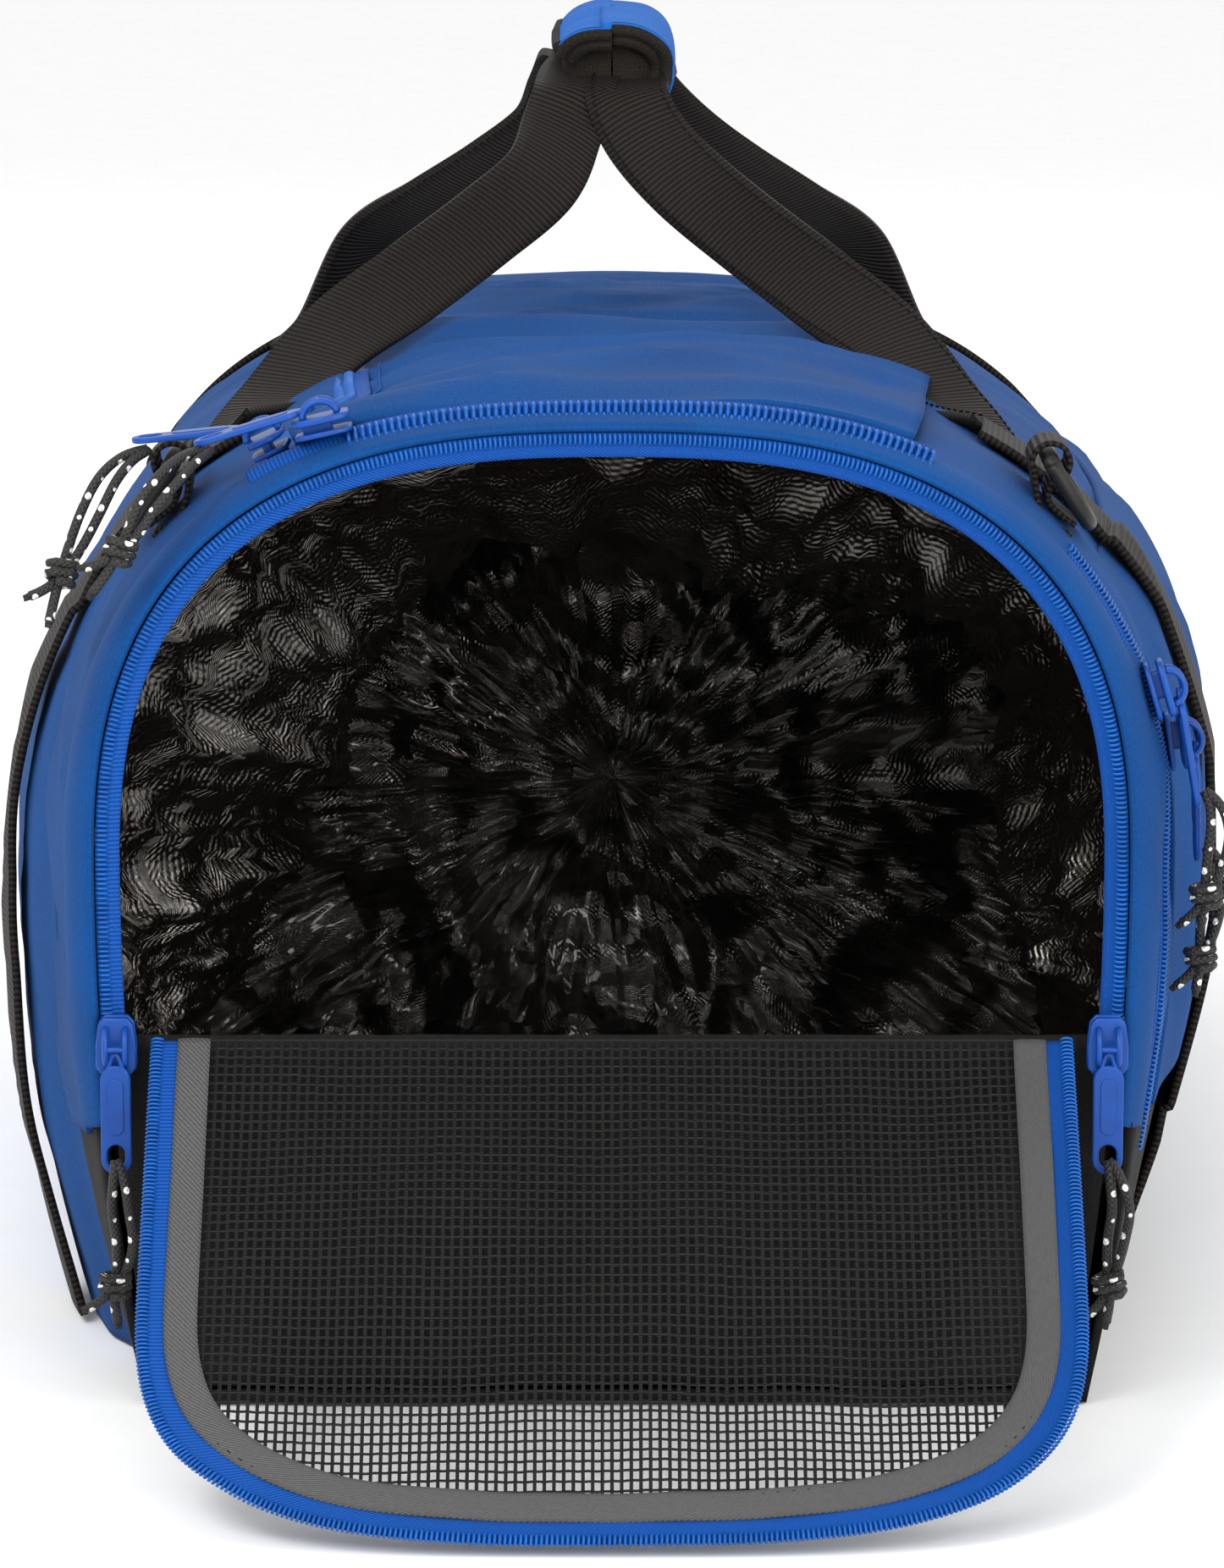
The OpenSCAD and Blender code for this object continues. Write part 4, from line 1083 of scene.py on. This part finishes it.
def handle_half(side, front):
    """Points and widths' directions of one half of a handle, from its foot to the middle of the grip."""
    foot, shoulder = (FOOT_FRONT, SHOULDER_FRONT) if front else (FOOT_REAR, SHOULDER_REAR)
    way = -1 if front else 1
    drop = 0 if front else 6
    points = [foot, Vector(shoulder) * MM]
    points += [Vector((x, way * y, z - drop * (1 - i / 4))) * MM for i, (x, y, z) in enumerate(CLIMB)]
    points += [Vector((x, way * y, z)) * MM for x, y, z in MOUTH[side] + [INSIDE[side]]]
    twist = [Vector((0.3, -way * 0.85, -0.4)), Vector((0.7, -way * 0.6, 0.1))]
    twist += [Vector((x, -way * y, z)) for x, y, z in CLIMB_TWIST + MOUTH_TWIST + [MOUTH_TWIST[-1]]]
    return points, twist


def mirrored(v, side):
    return Vector((v[0] * side, v[1], v[2]))


def make_handle(side, word):
    steps = 30
    front, front_twist = handle_half(side, True)
    rear, rear_twist = handle_half(side, False)
    line = catmull([mirrored(p, side) for p in front + rear[::-1]], steps)
    across = catmull([mirrored(a, side) for a in front_twist + rear_twist[::-1]], steps)
    inside = GRIP_LEN / 2 - 16 * MM
    widths = [HANDLE_W if abs(p.y) > inside else lerp(22 * MM, HANDLE_W, smooth(abs(p.y) / inside)) for p in line]
    strap = sheet_mesh(f"handle_{word}_strap", webbing_rows(line, across, widths, cup=0.8 * MM * side),
                       M["webbing"], f"handle_{word}", WEB_T)
    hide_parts(f"handle_{word}_webbing")
    rows = webbing_rows(line, across, widths)
    normals = [t.cross((r[8] - r[0]).normalized()) for t, r in zip(tangents(line), rows)]
    for edge in (-0.84, 0.84):
        seam = [row[4] + (row[8] - row[0]) * edge / 2 for row in rows]
        for face in (-1, 1):
            stitch_line(f"handle_{word}_seam_{'ab'[edge > 0]}{'ab'[face > 0]}",
                        [p + n * face * 1.3 * MM for p, n in zip(seam, normals)],
                        [n * face for n in normals], M["webbing"], f"handle_{word}", pitch=3.6 * MM)


GRIP_HALF = GRIP_LEN / 2 - 12 * MM
GRIP_RX, GRIP_RZ = 19.5 * MM, 14.8 * MM
COVER = {1: (97, -58), -1: (90, 28)}        # angles the blue cloth covers on each half, in degrees


def grip_point(side, angle, y, inset=0.0):
    """A point of the rounded grip; 90 degrees is the top, 0 the outer side."""
    w = math.radians(angle)
    bow = 1 + 0.04 * math.cos(math.pi / 2 * y / GRIP_HALF)
    slump = 1.3 * MM * noise.noise(Vector((side * 2.0, y * 45, w)))
    squared = math.copysign(abs(math.sin(w)) ** 0.8, math.sin(w))
    wide = math.copysign(abs(math.cos(w)) ** 0.85, math.cos(w))
    lapped = 0.9 * MM if side > 0 else 0.0          # the right half closes over the left one
    return Vector((side * wide * (GRIP_RX - inset + lapped) * bow, y,
                   HANDLE_Z + squared * (GRIP_RZ - inset + lapped) * bow + slump))


def make_grip(side, word):
    """One half of the padded wrap: blue cloth, bound edge, dark lining and a rolled core."""
    body = f"handle_{word}"
    start, stop = COVER[side]
    swing = 7 * MM                          # the cloth's ends reach further out on top than below

    def reach(angle, way):
        return way * (GRIP_HALF + swing * math.sin(math.radians(max(0, angle))) - 2 * MM)

    rows = [[grip_point(side, a, lerp(reach(a, -1), reach(a, 1), k)) for a in spread(start, stop, 36)]
            for k in spread(0, 1, 44)]
    cover = sheet_mesh(f"grip_{word}_cloth", rows, M["grip"], body, 2.6 * MM, outward=side)
    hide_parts(f"grip_{word}")
    for way, end in ((-1, "front"), (1, "rear")):
        for layer, inset, width in (("binding", 2.2 * MM, 2.4 * MM), ("lining", 5.4 * MM, 2.7 * MM)):
            line = [grip_point(side, a, reach(a, way) - way * inset * 0.7, inset) for a in spread(90, stop - 12, 36)]
            piping(f"grip_{word}_{layer}_{end}", line, width, M["foam"], body)
    edge = [grip_point(side, stop - 3, y, 0.6 * MM) for y in spread(-GRIP_HALF, GRIP_HALF, 30)]
    piping(f"grip_{word}_edge", edge, 2.2 * MM, M["foam"], body)
    core = [[grip_point(side, a, y, 3.4 * MM + 4 * MM * smooth((abs(y) - 0.72 * GRIP_HALF) / (0.28 * GRIP_HALF)))
             for a in spread(90, -90, 30)] for y in spread(-0.9 * GRIP_HALF, 0.9 * GRIP_HALF, 30)]
    middle = [Vector((-side * 0.3 * MM, p.y, HANDLE_Z)) for p in (core[0][0], core[-1][0])]
    core = [[middle[0]] * 31] + core + [[middle[1]] * 31]
    roll = sheet_mesh(f"grip_{word}_roll", core, M["foam"], body, outward=side)


for side_sign, side_word in ((-1, "left"), (1, "right")):
    make_handle(side_sign, side_word)
    make_grip(side_sign, side_word)


# ---------------------------------------------------------------- D-rings and tabs
RING_TILT = math.radians(32)
RING_BAR = 5 * MM
RING_W, RING_REACH = 26 * MM, 30 * MM
# place along the bag, section coordinate, and how far the pivot stands out and up
RING_PLACES = {"front": (0.088, 0.47, 7 * MM, 13 * MM), "rear": (0.93, 0.86, 9 * MM, 13 * MM)}


def make_rings():
    for end, (s, u, out, up) in RING_PLACES.items():
        for side, word in ((-1, "left"), (1, "right")):
            pivot = mirrored(skin(s, u) + Vector((out, 0, up)), side)
            reach = Vector((math.sin(RING_TILT) * side, 0, -math.cos(RING_TILT)))
            along = Vector((0, 1, 0))
            half = (RING_W + RING_BAR) / 2
            corner = [pivot + along * half * k for k in (-1, -0.5, 0, 0.5, 1)]
            low = RING_REACH - 1.5 * RING_BAR
            bow = [pivot + along * half * math.cos(a) ** 0.7 * 1.0 + reach * low * (0.25 + 0.75 * math.sin(a) ** 0.8)
                   for a in spread(0, math.pi / 2, 12)]
            bow += [pivot - along * half * math.cos(a) ** 0.7 + reach * low * (0.25 + 0.75 * math.sin(a) ** 0.8)
                    for a in spread(math.pi / 2, 0, 12)][1:]
            loop = evenly(corner + bow + [corner[0]], 2 * MM)
            ring = tube_mesh(f"ring_{word}_{end}", loop, RING_BAR / 2, M["plastic"], f"ring_{word}_{end}", 14)
            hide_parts(f"d_ring_{word}_{end}")
            make_tab(word, end, side, s, u, pivot)


def make_tab(word, end, side, s, u, pivot):
    """A webbing loop round the ring's bar, sewn flat to the shoulder."""
    radius = RING_BAR / 2 + 2.4 * MM
    base = mirrored(skin(s, u), side)
    normal = skin_normal(s, side * u)
    tangent = Vector((normal.z * side, 0, -normal.x * side))
    down = (base - pivot).normalized()
    wide = down.cross(Vector((0, 1, 0))) * side
    loop = []
    for a in spread(-150, 150, 30):
        w = math.radians(a)
        loop.append(pivot - down * math.cos(w) * radius + wide * math.sin(w) * radius)
    foot_out = base + normal * 1.5 * MM + tangent * 16 * MM
    foot_in = base + normal * 3.4 * MM + tangent * 15 * MM
    line = catmull([foot_out, base + normal * 2 * MM + tangent * 5 * MM] + loop[::3]
                   + [base + normal * 4.2 * MM + tangent * 4 * MM, foot_in], 6)
    rows = [[p + Vector((0, k * 11 * MM, 0)) for k in spread(-1, 1, 8)] for p in line]
    tab = sheet_mesh(f"tab_{word}_{end}", rows, M["webbing"], "bag", 1.6 * MM, outward=side)
    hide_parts(f"ring_tab_{word}_{end}")


make_rings()


# ---------------------------------------------------------------- sliders and pulls
def rounded_plate(name, outline, z0, z1, bevel, material, body, hole=None):
    """A flat plate from an outline, with rounded edges and an optional round hole."""
    curve = bpy.data.curves.new(name, "CURVE")
    curve.dimensions = "2D"
    curve.fill_mode = "BOTH"
    loops = [outline] + ([hole] if hole else [])
    for points in loops:
        spline = curve.splines.new("POLY")
        spline.points.add(len(points) - 1)
        for q, p in zip(spline.points, points):
            q.co = (p[0], p[1], 0, 1)
        spline.use_cyclic_u = True
    curve.extrude = (z1 - z0) / 2 - bevel
    curve.bevel_depth = bevel
    curve.bevel_resolution = 2
    curve.offset = -bevel
    obj = bpy.data.objects.new(name, curve)
    bpy.context.collection.objects.link(obj)
    bpy.context.view_layer.update()
    mesh = bpy.data.meshes.new_from_object(obj.evaluated_get(bpy.context.evaluated_depsgraph_get()))
    bpy.data.objects.remove(obj)
    for v in mesh.vertices:
        v.co.z += (z0 + z1) / 2
    mesh.name = name
    mesh.materials.clear()
    mesh.shade_smooth()
    return add_object(name, mesh, material, body)


def capsule_outline(x0, x1, half, n=12):
    points = [(x1 - half + half * math.cos(a), half * math.sin(a)) for a in spread(-math.pi / 2, math.pi / 2, n)]
    return points + [(x0 + half + half * math.cos(a), half * math.sin(a))
                     for a in spread(math.pi / 2, 3 * math.pi / 2, n)]


SLIDER_L, SLIDER_W, SLIDER_T = 17 * MM, 12 * MM, 6 * MM
PULL_LEN, PULL_W, PULL_T, BAIL = 38 * MM, 9 * MM, 1.8 * MM, 2.6 * MM


def slider_parts(name, body, bail_turn=0):
    """Slider in its own axes: zip along X, bail up."""
    shield = [(-8.5, -3.4), (-6.5, -5.2), (0, -6), (6.5, -6), (8.5, -4.4),
              (8.5, 4.4), (6.5, 6), (0, 6), (-6.5, 5.2), (-8.5, 3.4)]
    outline = [(x * MM, y * MM) for x, y in shield]
    parts = [rounded_plate(name + "_top", outline, 3.9 * MM, 6 * MM, 0.6 * MM, M["enamel"], body),
             rounded_plate(name + "_low", outline, 0.0, 1.6 * MM, 0.5 * MM, M["enamel"], body),
             rounded_plate(name + "_post", capsule_outline(-6 * MM, 3 * MM, 1.5 * MM), 1.0 * MM, 5 * MM, 0.3 * MM,
                           M["enamel"], body)]
    bail = [Vector((math.cos(a) * 5.2, 0, 6 + math.sin(a) * 4.4)) * MM for a in spread(0, math.pi, 16)]
    for y in (-1, 1):
        parts.append(tube_mesh(f"{name}_bail_{y + 1}", [p + Vector((0, y * 2.9 * MM, 0)) for p in bail], 0.95 * MM,
                               M["enamel"], body, 8))
    parts.append(tube_mesh(name + "_bar", [Vector((0, y, 10.2)) * MM for y in (-3, -1, 1, 3)], 0.9 * MM,
                           M["enamel"], body, 8))
    if bail_turn:
        for part in parts[-3:]:
            put(part, (0, 0, 0), (0, 0, bail_turn))
    return join_meshes(name, parts, body)


def pull_parts(name, body):
    """Pull in its own axes: pin at the origin along Y, reaching toward -X."""
    ring = capsule_outline(-PULL_LEN, -5 * MM, PULL_W / 2)
    hole = capsule_outline(-PULL_LEN + 2.0 * MM, -PULL_LEN + 9 * MM, 2.6 * MM)
    plate = rounded_plate(name + "_plate", ring, -PULL_T / 2, PULL_T / 2, 0.5 * MM, M["enamel"], body, hole)
    rib = rounded_plate(name + "_rib", capsule_outline(-26 * MM, -9 * MM, 2.4 * MM), -PULL_T / 2 - 0.35 * MM,
                        PULL_T / 2 + 0.35 * MM, 0.3 * MM, M["enamel"], body)
    neck = [Vector((-7.5 * MM + 5.8 * MM * math.cos(a) ** 1, 2.0 * MM * math.sin(a), 0)) for a in spread(-1.9, 1.9, 16)]
    hook = tube_mesh(name + "_hook", neck, 0.85 * MM, M["enamel"], body, 8)
    return join_meshes(name, [plate, rib, hook], body)


def rotation(turn):
    x, y, z = (math.radians(a) for a in turn)
    cx, sx, cy, sy, cz, sz = math.cos(x), math.sin(x), math.cos(y), math.sin(y), math.cos(z), math.sin(z)
    rx = np.array([[1, 0, 0], [0, cx, -sx], [0, sx, cx]])
    ry = np.array([[cy, 0, sy], [0, 1, 0], [-sy, 0, cy]])
    rz = np.array([[cz, -sz, 0], [sz, cz, 0], [0, 0, 1]])
    return rz @ ry @ rx


def put(obj, at, turn, flip=1):
    """Move a part's mesh from its own axes to its place, mirrored in X when flip is -1."""
    m = rotation(turn)
    for v in obj.data.vertices:
        p = m @ np.array(tuple(v.co)) + np.array(tuple(at))
        v.co = (p[0] * flip, p[1], p[2])
    if flip < 0:
        obj.data.flip_normals()


PIN = SLIDER_T + BAIL
# place of the slider's underside, its turn, the pull's turn, the bail's turn and whether it is mirrored
FITTINGS = {
    "end_right": ((146, -328.1, 112), (90, 90, 0), (0, -90, 90), 0, 1),
    "end_left": ((146, -328.1, 112), (90, 90, 0), (0, -90, 90), 0, -1),
    "top_front": ((-84, -312.5, 290.5), (0, -13, 0), (0, -17, 0), 0, 1),
    "top_side": ((-100.5, -291, 282), (-25, 0, 90), (0, -6, 0), 90, 1),
    "side_upper": ((159.3, -300, 212), (0, 73.7, 0), (0, -100, 0), 0, 1),
    "side_lower": ((165.7, -286, 194.5), (0, 81.2, 0), (0, -92, 0), 0, 1),
}


def make_fittings():
    for name, (place, slider_turn, pull_turn, bail_turn, flip) in FITTINGS.items():
        kind, where = name.split("_")
        at = Vector(place) * MM
        slider = slider_parts(f"{kind}_slider_{where}_part", f"{kind}_slider_{where}_body", bail_turn)
        put(slider, at, slider_turn, flip)
        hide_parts(f"{kind}_slider_{where}")
        stand = Vector(rotation(slider_turn) @ np.array([0, 0, 1]))
        pull = pull_parts(f"{kind}_pull_{where}_part", f"{kind}_pull_{where}_body")
        put(pull, at + stand * PIN, pull_turn, flip)
        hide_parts(f"{kind}_pull_{where}")


make_fittings()


# ---------------------------------------------------------------- carried-over nodes, floor and light
def finish_cad_materials():
    board = bpy.data.objects.get("base_board")
    if board:
        board.data.materials.clear()
        board.data.materials.append(moulded("stiffener_board", (0.05, 0.05, 0.05), 0.6))


def make_stage():
    material, tree, shader = new_material("floor_white", (0.93, 0.93, 0.93), 0.9)
    shader.inputs["Specular IOR Level"].default_value = 0.1
    speck = noise_node(tree, stretched(tree, "Object", (1, 1, 1)), 30, 3)
    color_between(tree, shader, speck, (0.92, 0.92, 0.92), (0.94, 0.94, 0.94))
    mesh = bpy.data.meshes.new("floor")
    size = 8.0
    mesh.from_pydata([(-size, -size, 0), (size, -size, 0), (size, size, 0), (-size, size, 0)], [], [(0, 1, 2, 3)])
    mesh.materials.append(material)
    floor = bpy.data.objects.new("floor", mesh)
    floor.location.z = cad_box[0][2] - 0.4 * MM
    bpy.context.collection.objects.link(floor)


def area_light(name, at, target, size, power, size_y=None):
    data = bpy.data.lights.new(name, "AREA")
    data.shape = "RECTANGLE"
    data.size, data.size_y = size, size_y or size
    data.energy = power
    light = bpy.data.objects.new(name, data)
    light.location = at
    light.rotation_euler = (Vector(target) - Vector(at)).to_track_quat("-Z", "Y").to_euler()
    bpy.context.collection.objects.link(light)


def make_light():
    world = bpy.data.worlds.new("studio")
    bpy.context.scene.world = world
    world.use_nodes = True
    world.node_tree.nodes["Background"].inputs["Color"].default_value = (1, 1, 1, 1)
    world.node_tree.nodes["Background"].inputs["Strength"].default_value = 1.0
    middle = (0, 0, 0.18)
    area_light("key", (-1.1, -1.6, 1.9), middle, 0.8, 22)
    area_light("fill", (1.6, -1.2, 1.2), middle, 0.8, 9)
    area_light("back", (0.0, 1.8, 1.8), middle, 1.6, 12)
    area_light("front_low", (0.9, -2.2, 0.7), (0, FRONT, 0.17), 0.6, 16, 0.9)
    area_light("front_high", (-0.6, -2.2, 1.5), (0, FRONT, 0.17), 1.3, 14, 0.7)
    bpy.context.scene.view_settings.view_transform = "Standard"


finish_cad_materials()
make_stage()
make_light()
